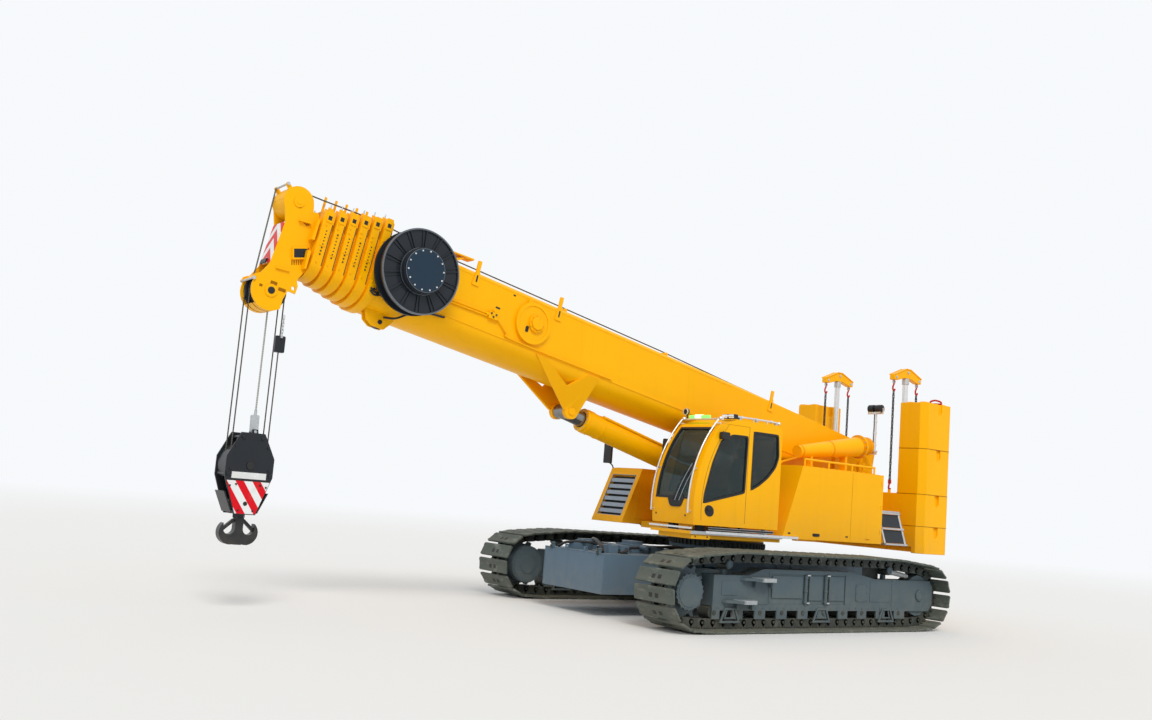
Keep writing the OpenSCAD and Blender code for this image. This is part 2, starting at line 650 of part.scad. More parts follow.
// the cab's side outline, drawn in by an inset
function cab_outline(t) = let (z0 = cab_floor + t, z1 = cab_top - t - 60) concat(
    [[cab_rear + t, z0], [cab_rear + t, z1]], [[cab_rear + t + 120, z1 + 60], [1200, z1 + 60]],
    [for (k = [0 : 10]) let (z = z1 - 50 - (z1 - 50 - z0) * k / 10) [front_x(z, t), z]]);
door_x0 = 935;
door_x1 = 2100;
door_window = [[1540, 2700], [1296, 2815], [955, 2820], [965, 1954], [1830, 1750], [1820, 1890], [1690, 2366]];
quarter_window = [[850, 2905], [285, 2905], [250, 2560], [312, 2392], [474, 2218], [666, 2085], [850, 1998]];
right_window = [[1500, 2850], [320, 2905], [320, 2000], [1750, 1900]];
screen_z = [1800, 2900];
rear_window_z = [2150, 2850];
roof_window_x = [600, 1150];
module cab_shell() {
    color(yellow) difference() {
        slab_y(cab_outline(0), cab_in, cab_out);
        slab_y(cab_outline(cab_wall), cab_in + cab_wall, cab_out - cab_wall);
        // windscreen
        box([1300, cab_in + 70, screen_z[0]], [2200, cab_out - 110, screen_z[1]]);
        // doorway in the left side
        box([door_x0, cab_out - cab_wall - 1, cab_floor + 60], [door_x1, cab_out + 1, 2960]);
        // rear quarter window
        slab_y(quarter_window, cab_out - cab_wall - 1, cab_out + 1);
        // right side window
        slab_y(right_window, cab_in - 1, cab_in + cab_wall + 1);
        // rear window
        box([cab_rear - 1, cab_in + 90, rear_window_z[0]], [cab_rear + cab_wall + 1, cab_out - 120, rear_window_z[1]]);
        // roof window
        box([roof_window_x[0], cab_in + 150, cab_top - cab_wall - 60], [roof_window_x[1], cab_out - 150, cab_top + 1]);
    }
    color(black) for (y = cab_hinge_y) difference() {
        union() {
            box([cab_hinge_x - 30, y - 15, cab_hinge_z], [cab_hinge_x + 30, y + 15, cab_floor + 1]);
            pin_y(cab_hinge_x, cab_hinge_z, 30, y - 15, y + 15);
        }
        pin_y(cab_hinge_x, cab_hinge_z, hinge_pin_r + seat, y - 20, y + 20);
    }
}
module cab_door() {
    color(yellow) difference() {
        intersection() {
            slab_y(cab_outline(0), cab_out - cab_wall + seat, cab_out);
            box([door_x0 + 4, cab_out - 100, cab_floor + 60 + seat], [door_x1, cab_out + 1, 2956]);
        }
        slab_y(door_window, cab_out - 100, cab_out + 1);
    }
}
// an outline that runs counter-clockwise, drawn in by d
function unit(v) = v / norm2(v);
function drawn_in(o, d) = let (n = len(o)) [for (k = [0 : n - 1])
    let (u = unit(o[k] - o[(k + n - 1) % n]), v = unit(o[(k + 1) % n] - o[k]), a = [-u[1], u[0]], b = [-v[1], v[0]])
    o[k] + (a + b) * d / (1 + a * b)];
glass_in = 16;
glass_t = 6;
module cab_glass() {
    color(glass_tint) {
        // windscreen follows the front curve
        intersection() {
            difference() {
                slab_y(cab_outline(12), cab_in + 70 + seat, cab_out - 110 - seat);
                slab_y(cab_outline(20), 0, cab_out);
            }
            box([1300, 0, screen_z[0] + seat], [2200, cab_out, screen_z[1] - seat]);
        }
        // door, rear quarter and right side panes
        slab_y(drawn_in(door_window, seat), cab_out - glass_in - glass_t, cab_out - glass_in);
        slab_y(drawn_in(quarter_window, seat), cab_out - glass_in - glass_t, cab_out - glass_in);
        slab_y(drawn_in(right_window, seat), cab_in + glass_in, cab_in + glass_in + glass_t);
        // rear and roof panes
        box([cab_rear + glass_in, cab_in + 90 + seat, rear_window_z[0] + seat],
            [cab_rear + glass_in + glass_t, cab_out - 120 - seat, rear_window_z[1] - seat]);
        box([roof_window_x[0] + seat, cab_in + 150 + seat, cab_top - glass_in - glass_t],
            [roof_window_x[1] - seat, cab_out - 150 - seat, cab_top - glass_in]);
    }
}
module cab_seat() {
    color(black) {
        box([700, 900, 1700], [1200, 1350, 1850]);
        box([600, 920, 1849], [740, 1330, 2500]);
        box([860, 1050, cab_floor + cab_wall + seat], [1040, 1210, 1701]);
    }
}
module cab_console() {
    color(black) {
        box([1620, 1000, cab_floor + cab_wall + seat], [1700, 1250, 1900]);
        box([800, 760, cab_floor + cab_wall + seat], [1150, 860, 1900]);
    }
}
module cab_rails() {
    rail_top = cab_top + 45;
    color(steel) {
        bar([500, cab_out - 40, rail_top], [1150, cab_out - 40, rail_top], 14);
        for (x = [520, 825, 1130]) bar([x, cab_out - 40, cab_top + seat], [x, cab_out - 40, rail_top], 10);
    }
}

// boom pieces are drawn along X from the pivot and then tipped up
module on_boom() { translate([pivot_x, 0, pivot_z]) rotate([0, -boom_angle, 0]) children(); }
shell_n = 14;
// columns of a shell: half width, top, seam, belly
function shell_of(k) = [boom_half_w - nest * k, (k == 0 ? boom_top : boom_top - 60 - nest * k),
    boom_seam - 12 * k, boom_belly - nest * k];
function collar_of(k) = [boom_half_w + 28 - 26 * k, boom_top + 175 - 36 * k, boom_seam - 12 * k, boom_belly + 28 - 28 * k];
function grown(s, g) = [s[0] + g, s[1] + g, s[2], s[3] + g];
function u_outline(s, c = 40) = concat([[s[0], s[1] - c], [s[0] - c, s[1]], [c - s[0], s[1]], [-s[0], s[1] - c]],
    [for (k = [0 : shell_n]) let (a = 180 + 180 * k / shell_n) [s[0] * cos(a), -s[2] + (s[3] - s[2]) * sin(a)]]);
// a U-shaped bar along X from s0 to s1
module u_bar(s, s0, s1) {
    translate([s0, 0, 0]) rotate([90, 0, 90]) linear_extrude(s1 - s0) polygon(u_outline(s));
}
tail_len = 370;
side_view = [[-tail_len, 425], [-tail_len, -100], [-150, -boom_belly - 1], [base_len, -boom_belly - 1],
    [base_len, boom_top + 1], [3450, boom_top + 1]];
cavity_view = [[430, 428 - boom_wall], [430, -boom_belly - 1], [base_len + 1, -boom_belly - 1],
    [base_len + 1, boom_top + 1 - boom_wall], [3450, boom_top + 1 - boom_wall]];
// the tail is open at the back, with thicker walls round the pivot tube
tail_wall = 60;
tail_view = [[-tail_len - 1, 425 - tail_wall], [-tail_len - 1, -40], [-120, tail_wall - boom_belly],
    [431, tail_wall - boom_belly], [431, 428 - tail_wall]];
eye_s = 6420;
eye_h = -840;
eye_r = 110;
eye_half_w = 110;
lug_lean = atan2(boom_half_w - eye_half_w - 60, -boom_seam - eye_h);
lug_drop = (eye_h + boom_seam) / cos(lug_lean);
boss_s = 7600;
boss_h = 110;
module boom_base() {
    color(yellow) on_boom() {
        difference() {
            union() {
                intersection() {
                    u_bar(shell_of(0), -tail_len, base_len);
                    slab_y(side_view, -boom_half_w - 1, boom_half_w + 1);
                }
                difference() {
                    u_bar(collar_of(0), base_len - 120, base_len);
                    u_bar(grown(shell_of(0), -1), base_len - 121, base_len - 59);
                }
            }
            intersection() {
                u_bar(grown(shell_of(0), -boom_wall), 430, base_len - 60);
                slab_y(cavity_view, -boom_half_w, boom_half_w);
            }
            difference() {
                intersection() {
                    u_bar(grown(shell_of(0), -tail_wall), -tail_len - 1, 431);
                    slab_y(tail_view, -boom_half_w, boom_half_w);
                }
                pin_y(0, 0, boom_pin_r + tail_wall, -boom_half_w, boom_half_w);
            }
            u_bar(grown(shell_of(1), lip_gap), base_len - 61, base_len + 1);
            pin_y(0, 0, boom_pin_r + seat, -boom_half_w - 1, boom_half_w + 1);
        }
        // cylinder lugs: V-shaped plates that lean in from the side seams to the eye
        both_sides() difference() {
            union() {
                translate([0, boom_half_w - 4, -boom_seam]) rotate([-lug_lean, 0, 0])
                    slab_y([[eye_s + 1000, 0], [eye_s + 810, 0], [eye_s + 270, -270], [eye_s + 20, 0], [eye_s - 190, 0],
                        [eye_s - 130, lug_drop], [eye_s + 150, lug_drop]], 0, 32);
                pin_y(eye_s, eye_h, 2 * ram_pin_r, eye_half_w + 20, eye_half_w + 95);
            }
            pin_y(eye_s, eye_h, ram_pin_r + seat, eye_half_w, eye_half_w + 200);
        }
        both_sides() {
            pin_y(boss_s, boss_h, 300, boom_half_w - 1, boom_half_w + 40);
            pin_y(boss_s - 40, boss_h + 10, 130, boom_half_w - 1, boom_half_w + 75);
        }
    }
    color(steel) on_boom() {
        pin_y(0, 0, boom_pin_r, -web_in - web_t - 30, web_in + web_t + 30);
        both_sides() pin_y(eye_s, eye_h, ram_pin_r, eye_half_w + play, eye_half_w + 110);
    }
}

reel_s = base_len - 500;
reel_h = 70;
reel_y0 = boom_half_w + 130;
reel_r = 560;
reel_w = 230;
reel_ribs = 14;
hub_r = 305;
hub_len = 110;
module cable_reel() {
    color(black) on_boom() translate([reel_s, reel_y0, reel_h]) rotate([-90, 0, 0]) {
        cylinder(h = 30, r = reel_r, $fn = 60);
        cylinder(h = reel_w, r = hub_r, $fn = 60);
        translate([0, 0, reel_w - 12]) cylinder(h = 12, r = reel_r - 6, $fn = 60);
        translate([0, 0, reel_w - 40]) difference() {
            cylinder(h = 60, r = reel_r, $fn = 60);
            translate([0, 0, -1]) cylinder(h = 62, r = reel_r - 22, $fn = 60);
        }
        for (k = [0 : reel_ribs - 1]) rotate(k * 360 / reel_ribs)
            translate([hub_r - 20, -7, reel_w - 1]) cube([reel_r - hub_r, 14, 16]);
        translate([0, 0, reel_w - 1]) cylinder(h = hub_len, r = hub_r, $fn = 60);
        translate([0, 0, reel_w + hub_len - 2]) cylinder(h = 20, r = hub_r - 15, $fn = 60);
        translate([0, 0, boom_half_w - reel_y0 + seat]) cylinder(h = reel_y0 - boom_half_w, r = 150, $fn = 48);
    }
}

// inner sections: nested tubes whose front collars stand one step apart at rest
first_rear = 500;
rear_step = 60;
post_top = 805;
module boom_section(k) {
    front = base_len + collar_step * k;
    rear = first_rear + rear_step * (k - 1);
    top = collar_of(k)[1];
    lip = k == 5 ? 0 : 60;
    color(yellow) on_boom() difference() {
        union() {
            u_bar(shell_of(k), rear, front);
            u_bar(collar_of(k), front - collar_step + 30, front);
            box([front - 60, -8, top - 20], [front - 30, 8, post_top - 12 * k]);
        }
        u_bar(grown(shell_of(k), -boom_wall), rear - 1, front - lip);
        if (k < 5) u_bar(grown(shell_of(k + 1), lip_gap), front - lip - 1, front + 1);
    }
}
module boom_section_1() { boom_section(1); }
module boom_section_2() { boom_section(2); }
module boom_section_3() { boom_section(3); }
module boom_section_4() { boom_section(4); }
module boom_section_5() { boom_section(5); }

// head: two side plates behind the upper and lower sheaves, on a plate across the last collar
last_front = base_len + 5 * collar_step;
head_s = last_front + seat;
head_half_w = 190;
head_plate_t = 25;
low_s = last_front + 371;
low_h = -724;
low_r = 252;
up_s = last_front + 350;
up_h = 480;
up_r = 202;
up_pin_r = 35;
low_pin_r = 45;
jib_s = last_front + 105;
jib_h = -600;
jib_r = 25;
function arc(cx, cy, r, a0, a1, n) = [for (k = [0 : n]) [cx, cy] + polar(r, a0 + (a1 - a0) * k / n)];
// the corners are measured from the last collar's front
function from_front(points) = [for (p = points) [last_front + p[0], p[1]]];
head_outline = concat(from_front([[14 + seat, -330], [90, -480], [55, -560], [60, -660], [162, -655], [195, -780]]),
    arc(low_s, low_h, low_r, 225, 372, 12), from_front([[515, -470], [482, -400], [445, 172]]),
    arc(up_s, up_h, up_r, -40, 170, 12), from_front([[130, 430], [60, 440], [14 + seat, 340]]));
guard_t = 10;
// a curved cover between the head plates, just outside the sheaves
module guard(cx, cy, r, a0, a1) {
    slab_y(concat(arc(cx, cy, r, a0, a1, 10), arc(cx, cy, r - guard_t, a1, a0, 10)), 1 - head_half_w, head_half_w - 1);
}
module boom_head() {
    color(yellow) on_boom() difference() {
        union() {
            u_bar(collar_of(5), head_s, head_s + 25);
            both_sides() {
                slab_y(head_outline, head_half_w - head_plate_t, head_half_w);
                pin_y(up_s, up_h, 70, head_half_w - 1, head_half_w + 15);
                pin_y(low_s, low_h, 80, head_half_w - 1, head_half_w + 15);
            }
            slab_y(from_front([[455, -385], [475, -385], [447, 172], [427, 172]]), 1 - head_half_w, head_half_w - 1);
            // covers over the sheaves
            guard(up_s, up_h, up_r, -8, 165);
            guard(low_s, low_h, low_r, 20, 72);
            guard(low_s, low_h, low_r, 235, 305);
        }
        pin_y(up_s, up_h, up_pin_r + seat, -300, 300);
        pin_y(low_s, low_h, low_pin_r + seat, -300, 300);
        pin_y(jib_s, jib_h, jib_r, -300, 300);
    }
}
// a rope sheave: a body up to the groove and two flanges
sheave_t = 50;
flange_t = 8;
module sheave(x, z, groove_r, y) {
    pin_y(x, z, groove_r - rope_r, y - sheave_t / 2, y + sheave_t / 2);
    for (y0 = [y - sheave_t / 2, y + sheave_t / 2 - flange_t]) pin_y(x, z, groove_r + rope_r, y0, y0 + flange_t);
}
fall_y = [-85, 85];
module head_sheaves() {
    color("#4a4d50") on_boom() {
        for (y = [-55, 55]) sheave(up_s, up_h, 170, y);
        pin_y(up_s, up_h, up_pin_r, -head_half_w - 20, head_half_w + 20);
        for (y = fall_y) sheave(low_s, low_h, head_sheave_r, y);
        pin_y(low_s, low_h, low_pin_r, -head_half_w - 20, head_half_w + 20);
    }
}

// luffing cylinder, drawn along X from its base pin
ram_pivot = [ram_x, ram_z];
eye_at = [pivot_x + eye_s * cos(boom_angle) - eye_h * sin(boom_angle), pivot_z + eye_s * sin(boom_angle) + eye_h * cos(boom_angle)];
ram_len = norm2(eye_at - ram_pivot);
ram_angle = atan2(eye_at[1] - ram_z, eye_at[0] - ram_x);
module on_ram() { translate([ram_x, 0, ram_z]) rotate([0, -ram_angle, 0]) children(); }
gland = ram_len - 360;
bore_r = barrel_r - 28;
oil_pipe_side = 40;
module luff_barrel() {
    color(yellow) on_ram() difference() {
        union() {
            pin_y(0, 0, 95, -125, 125);
            rotate([0, 90, 0]) cylinder(h = 440, r = 85, $fn = 48);
            translate([430, 0, 0]) rotate([0, 90, 0]) cylinder(h = gland - 430, r = barrel_r, $fn = 64);
            // the oil pipe lies to the left of the barrel's top, clear of the boom
            rotate([-oil_pipe_side, 0, 0]) {
                translate([1600, 0, barrel_r + 22]) rotate([0, 90, 0]) cylinder(h = gland - 1900, r = 20, $fn = 24);
                for (x = [1600, 3200, gland - 340]) box([x, -25, barrel_r - 20], [x + 40, 25, barrel_r + 30]);
            }
        }
        translate([520, 0, 0]) rotate([0, 90, 0]) cylinder(h = gland - 580, r = bore_r, $fn = 64);
        translate([gland - 70, 0, 0]) rotate([0, 90, 0]) cylinder(h = 80, r = rod_r + lip_gap, $fn = 64);
        pin_y(0, 0, ram_pin_r + seat, -200, 200);
    }
}
module luff_rod() {
    color(steel) on_ram() difference() {
        union() {
            translate([840, 0, 0]) rotate([0, 90, 0]) cylinder(h = ram_len - 840, r = rod_r, $fn = 64);
            translate([780, 0, 0]) rotate([0, 90, 0]) cylinder(h = 140, r = bore_r - lip_gap, $fn = 64);
            pin_y(ram_len, 0, eye_r, -eye_half_w, eye_half_w);
        }
        pin_y(ram_len, 0, ram_pin_r + seat, -200, 200);
    }
}

// hook: four rope falls hang plumb from the lower head sheaves to a block with a double hook
hang_x = pivot_x + low_s * cos(boom_angle) - low_h * sin(boom_angle);
hang_z = pivot_z + low_s * sin(boom_angle) + low_h * cos(boom_angle);
fall_x = head_sheave_r;
block_low = 1160;
block_sheave_z = block_top - 400;
block_half_w = 180;
block_plate_t = 24;
shank_r = 50;
module hoist_ropes() {
    color("#3a3632") for (x = [-fall_x, fall_x], y = fall_y)
        bar([hang_x + x, y, block_sheave_z], [hang_x + x, y, hang_z], rope_r - seat, 12);
}
block_outline = [[-135, block_low], [135, block_low], [300, block_top - 530], [300, block_top - 300],
    [150, block_top], [-150, block_top], [-300, block_top - 300], [-300, block_top - 530]];
module hook_block() {
    color(black) translate([hang_x, 0, 0]) {
        both_sides() slab_y(block_outline, block_half_w - block_plate_t, block_half_w);
        difference() {
            box([-90, -block_half_w + block_plate_t - 1, block_low], [90, block_half_w - block_plate_t + 1, block_low + 180]);
            translate([0, 0, block_low - 1]) cylinder(h = 111, r = shank_r + seat, $fn = 32);
        }
        pin_y(0, block_sheave_z, 40, -block_half_w - 15, block_half_w + 15);
        for (y = fall_y) sheave(0, block_sheave_z, fall_x, y);
    }
}
// double hook: two cups cut out of a flat forging, with the shank turned in the block
cup_x = 122;
cup_r = 72;
prong_r = 148;
prong_tip = hook_low + 290;
module hook() {
    color(black) translate([hang_x, 0, 0]) {
        translate([0, 0, hook_low + 60]) cylinder(h = block_low + 100 - hook_low - 60, r = shank_r, $fn = 32);
        translate([0, 55, 0]) rotate([90, 0, 0]) linear_extrude(110) difference() {
            union() {
                for (x = [-95, 95]) translate([x, hook_low + prong_r]) circle(r = prong_r, $fn = 48);
                translate([-shank_r, hook_low]) square([2 * shank_r, block_low - 40 - hook_low]);
            }
            for (x = [-cup_x, cup_x]) {
                translate([x, hook_low + 195]) circle(r = cup_r, $fn = 40);
                translate([x - cup_r, hook_low + 195]) square([2 * cup_r, 200]);
                translate([x > 0 ? cup_x : -cup_x - 200, prong_tip]) square([200, 200]);
            }
        }
    }
}

car_body();
slew_ring();
left_side_frame();
left_track();
left_sprocket();
left_idler();
left_rollers();
left_final_drive();
right_side_frame();
right_track();
right_sprocket();
right_idler();
right_rollers();
right_final_drive();
turntable();
cab_platform();
left_cover();
right_cover();
front_cowl();
cowl_grille();
engine();
handrails();
ladder();
winch();
lamp_mast();
ballast_lower();
ballast_middle();
ballast_left();
ballast_right();
ballast_rams();
ballast_beams();
ballast_chains();
cab_shell();
cab_door();
cab_glass();
cab_seat();
cab_console();
cab_rails();
boom_base();
cable_reel();
boom_section_1();
boom_section_2();
boom_section_3();
boom_section_4();
boom_section_5();
boom_head();
head_sheaves();
luff_barrel();
luff_rod();
hoist_ropes();
hook_block();
hook();
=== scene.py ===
import json
import math

import bmesh
import bpy
import numpy as np
from mathutils import Matrix, Vector

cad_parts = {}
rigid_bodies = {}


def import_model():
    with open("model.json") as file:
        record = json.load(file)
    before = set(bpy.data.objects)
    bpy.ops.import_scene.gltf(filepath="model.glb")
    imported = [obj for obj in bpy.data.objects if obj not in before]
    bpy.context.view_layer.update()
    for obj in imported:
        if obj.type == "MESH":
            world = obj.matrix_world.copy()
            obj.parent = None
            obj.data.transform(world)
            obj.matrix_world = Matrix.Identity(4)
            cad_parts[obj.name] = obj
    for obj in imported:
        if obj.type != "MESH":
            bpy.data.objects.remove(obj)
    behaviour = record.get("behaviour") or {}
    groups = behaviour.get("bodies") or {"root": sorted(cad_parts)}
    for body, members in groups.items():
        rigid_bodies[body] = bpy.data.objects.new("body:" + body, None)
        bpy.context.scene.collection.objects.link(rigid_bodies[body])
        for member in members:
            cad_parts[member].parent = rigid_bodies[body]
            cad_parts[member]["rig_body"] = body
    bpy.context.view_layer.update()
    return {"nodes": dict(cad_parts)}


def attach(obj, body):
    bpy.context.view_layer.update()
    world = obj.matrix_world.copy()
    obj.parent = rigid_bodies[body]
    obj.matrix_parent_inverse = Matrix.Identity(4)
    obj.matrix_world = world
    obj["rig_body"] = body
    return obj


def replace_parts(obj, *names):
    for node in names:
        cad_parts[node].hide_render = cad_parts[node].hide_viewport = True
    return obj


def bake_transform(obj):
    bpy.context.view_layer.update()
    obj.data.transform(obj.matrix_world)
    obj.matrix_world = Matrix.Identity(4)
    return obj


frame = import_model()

# Sizes in this file are millimetres in the row frame unless a name says otherwise:
# X forward, Y to the cab side, Z up, origin on the ground under the slewing axis.
BOOM_PIVOT = np.array([-3082.0, 0.0, 2653.0])
BOOM_ANGLE = math.radians(10.1)
HANG_X, HANG_Z = 8170.8, 3922.0
RAM_PIN = np.array([-2500.0, 0.0, 1450.0])
RAM_ANGLE = math.radians(14.3146)
GAUGE_HALF, LINK_PITCH, HOUSE_HALF = 1980.0, 205.0, 1500.0
BALLAST_X = (-4201.0, -3456.0)
# along the boom and above its pivot line: the reel and the head's two sheaves
REEL_S, REEL_H = 9680.0, 70.0
LOW_SHEAVE, UP_SHEAVE = (11301, -724), (11280, 480)


def tipped(points, pivot, angle):
    """Points drawn along X, turned up by an angle and moved to a pivot: x' = x cos - z sin, z' = x sin + z cos."""
    p = np.asarray(points, float)
    c, s = math.cos(angle), math.sin(angle)
    return np.stack([p[..., 0] * c - p[..., 2] * s, p[..., 1], p[..., 0] * s + p[..., 2] * c], -1) + pivot


def on_boom(points):
    """Boom drawing (s along the boom, y, h above the pivot line) to the row frame."""
    return tipped(points, BOOM_PIVOT, BOOM_ANGLE)


def on_ram(points):
    """Cylinder drawing (along, y, above the axis) to the row frame."""
    return tipped(points, RAM_PIN, RAM_ANGLE)


def upright(points):
    """A piece that is drawn where it stands."""
    return np.asarray(points, float)


def under_hook(points):
    """A piece drawn from the hook's plumb line."""
    return np.asarray(points, float) + [HANG_X, 0, 0]


# ---- finishes


def srgb(code):
    """A #rrggbb colour as linear values: ((c + 0.055) / 1.055) ** 2.4 above the toe, c / 12.92 in it."""
    c = np.array([int(code[k:k + 2], 16) for k in (1, 3, 5)]) / 255
    return tuple(np.where(c > 0.04045, ((c + 0.055) / 1.055) ** 2.4, c / 12.92))


def dim(colour, share):
    """A share of a colour's light."""
    return tuple(share * c for c in colour)


class Value:
    """What comes out of a node. Sums, products and powers of it add the Math nodes that work them out."""

    def __init__(self, finish, out):
        self.finish, self.out = finish, out

    def _math(self, how, a, b):
        return self.finish.add("ShaderNodeMath", {"operation": how}, a, b)

    def __add__(self, other):
        return self._math("ADD", self, other)

    def __mul__(self, other):
        return self._math("MULTIPLY", self, other)

    def __sub__(self, other):
        return self._math("SUBTRACT", self, other)

    def __rsub__(self, other):
        return self._math("SUBTRACT", other, self)

    def __mod__(self, other):
        return self._math("FLOORED_MODULO", self, other)

    __radd__ = __add__
    __rmul__ = __mul__

    def size(self):
        return self._math("ABSOLUTE", self, 0.0)

    def above(self, low, high):
        """0 under low, 1 over high, and a smooth step between them."""
        return self.finish.add("ShaderNodeMapRange", {"interpolation_type": "SMOOTHSTEP"}, self, low, high, 0.0, 1.0)


class Finish:
    """A material: its Principled shader, and one method that adds any other node."""

    def __init__(self, name, **constants):
        self.material = bpy.data.materials.new(name)
        self.material.use_nodes = True
        self.tree = self.material.node_tree
        self.tree.nodes.clear()
        self.shader = self.tree.nodes.new("ShaderNodeBsdfPrincipled")
        self.result = self.tree.nodes.new("ShaderNodeOutputMaterial")
        self.tree.links.new(self.shader.outputs[0], self.result.inputs[0])
        for key, value in constants.items():
            self.shader.inputs[key.replace("_", " ")].default_value = value
        self.where = self.add("ShaderNodeTexCoord", {}, out="Object")

    def add(self, kind, settings, *values, out=0, **named):
        """A node of a kind: its settings, then the values or links of its sockets. Gives back one of its outputs."""
        node = self.tree.nodes.new(kind)
        for key, value in settings.items():
            setattr(node, key, value)
        for key, value in list(enumerate(values)) + list(named.items()):
            if value is None:
                continue
            socket = node.inputs[key if isinstance(key, int) else key.replace("_", " ")]
            if isinstance(value, Value):
                self.tree.links.new(value.out, socket)
            elif isinstance(value, tuple) and len(value) == 3 and socket.type == "RGBA":
                socket.default_value = (*value, 1.0)
            else:
                socket.default_value = value
        return Value(self, node.outputs[out])

    def mix(self, share, low, high, how="MIX"):
        """Two colours blended by a share."""
        return self.add("ShaderNodeMix", {"data_type": "RGBA", "blend_type": how}, share, None, None, None, None,
                        None, low, high, out=2)

    def noise(self, scale, detail=3.0, rough=0.55, stretch=(1.0, 1.0, 1.0)):
        """Cloudy noise over the piece, from 0 to 1, with a number of blotches per metre."""
        spread = self.add("ShaderNodeMapping", {}, self.where, Scale=stretch)
        return self.add("ShaderNodeTexNoise", {}, Vector=spread, Scale=scale, Detail=detail, Roughness=rough, out=0)

    def along(self, direction, start=(0.0, 0.0, 0.0)):
        """Metres along a direction from a start."""
        moved = self.add("ShaderNodeVectorMath", {"operation": "SUBTRACT"}, self.where, tuple(start))
        return self.add("ShaderNodeVectorMath", {"operation": "DOT_PRODUCT"}, moved, tuple(direction), out="Value")

    def facing_up(self):
        """1 on a level top, 0 on a wall, -1 underneath."""
        normal = self.add("ShaderNodeTexCoord", {}, out="Normal")
        return self.add("ShaderNodeVectorMath", {"operation": "DOT_PRODUCT"}, normal, (0.0, 0.0, 1.0), out="Value")

    def dust(self, level, low, high):
        """Share of dust: a film that grows towards the ground between two heights in metres, and lies on level tops."""
        near_ground = 1 - self.along((0, 0, 1)).above(low, high)
        patch = self.noise(5.0, 6.0, 0.65).above(0.32, 0.72)
        tops = self.facing_up().above(0.45, 0.95)
        return (near_ground * 0.75 + tops * 0.55) * (patch * 0.75 + 0.25) * level

    def bumps(self, height, depth, before=None):
        """Surface relief of a depth in metres."""
        return self.add("ShaderNodeBump", {}, Strength=1.0, Distance=depth, Height=height, Normal=before)

    def wear(self, colour, roughness, normal=None, **more):
        """Joins colour, roughness and relief to the shader."""
        links = {"Base Color": colour, "Roughness": roughness, "Normal": normal, **more}
        for key, value in links.items():
            socket = self.shader.inputs[key.replace("_", " ")]
            if isinstance(value, Value):
                self.tree.links.new(value.out, socket)
            elif value is not None:
                socket.default_value = (*value, 1.0) if isinstance(value, tuple) else value
        return self.material


DUST = srgb("#a2957c")
BACKDROP = (0.93, 0.95, 0.97, 1)


def painted(name, colour, shade, dust, dust_low, dust_high, gloss=0.36, coat=0.04):
    """Sprayed paint on plate: broad drift of colour, rain streaks down the walls, orange peel, and dust."""
    f = Finish(name, Coat_Weight=coat, Coat_Roughness=0.12, Specular_IOR_Level=0.12)
    drift = f.noise(0.7, 4.0)
    streak = f.noise(9.0, 5.0, 0.6, (1.0, 1.0, 0.07)).above(0.5, 0.78)
    speck = f.noise(38.0, 6.0, 0.7).above(0.60, 0.74)
    base = f.mix(drift, shade, colour)
    base = f.mix(streak * 0.10, base, dim(shade, 0.55))
    base = f.mix(speck * 0.12, base, dim(shade, 0.6))
    share = f.dust(dust, dust_low, dust_high)
    base = f.mix(share, base, DUST)
    rough = gloss + drift * 0.08 + share * 0.45 + streak * 0.10
    peel = f.bumps(f.noise(150.0, 2.0), 0.0004)
    return f.wear(base, rough, f.bumps(f.noise(2.2, 2.0), 0.003, peel))


def cast(name, colour, worn, dust, dust_low, dust_high, metal=0.0, gloss=0.55, pits=0.0015):
    """Cast or rolled steel: grain, scuffed places that shine, and dirt that has dried on."""
    f = Finish(name, Metallic=metal)
    grain = f.noise(26.0, 8.0, 0.7)
    scuff = f.noise(7.0, 7.0, 0.7, (1.0, 0.5, 1.0)).above(0.52, 0.66)
    base = f.mix(grain, dim(colour, 0.7), colour)
    base = f.mix(scuff * 0.55, base, worn)
    share = f.dust(dust, dust_low, dust_high)
    base = f.mix(share, base, DUST)
    return f.wear(base, gloss + grain * 0.2 - scuff * 0.12 + share * 0.3, f.bumps(grain, pits))


def zinc(name, light, dark, gloss=0.38):
    """Galvanised steel: flat crystals of slightly different grey, with a dull film."""
    f = Finish(name, Metallic=0.75)
    crystal = f.add("ShaderNodeTexVoronoi", {}, Vector=f.where, Scale=42.0, out="Color")
    tint = f.add("ShaderNodeVectorMath", {"operation": "DOT_PRODUCT"}, crystal, (0.33, 0.33, 0.33), out="Value")
    film = f.noise(6.0, 5.0)
    base = f.mix(tint * 0.6 + film * 0.4, dark, light)
    return f.wear(base, gloss + film * 0.22, f.bumps(tint, 0.0002))


def plain(name, colour, gloss, metal=0.0, grain=60.0, depth=0.0003, **constants):
    """Moulded rubber, plastic or a small lens: fine grain and a little wear."""
    f = Finish(name, Metallic=metal, **constants)
    fine = f.noise(grain, 4.0)
    rub = f.noise(8.0, 5.0).above(0.45, 0.75)
    base = f.mix(fine * 0.5 + rub * 0.4, dim(colour, 0.8), tuple(min(1.0, 1.15 * c + 0.006) for c in colour))
    return f.wear(base, gloss + rub * 0.12 + fine * 0.05, f.bumps(fine, depth))


def striped(name, step, share, red, white):
    """Reflective hazard sheet: red where step, a length across the stripes, is in the first part of its period."""
    f = Finish(name, Coat_Weight=0.05, Coat_Roughness=0.15, Specular_IOR_Level=0.15)
    place = step(f) % share
    mask = place.above(0.485 * share, 0.515 * share)
    cell = f.add("ShaderNodeTexVoronoi", {"feature": "DISTANCE_TO_EDGE"}, Vector=f.where, Scale=160.0)
    film = f.noise(7.0, 5.0).above(0.5, 0.8)
    base = f.mix(mask, red, white)
    base = f.mix(film * 0.18, base, DUST)
    return f.wear(base, 0.3 + film * 0.25, f.bumps(cell, 0.0003))


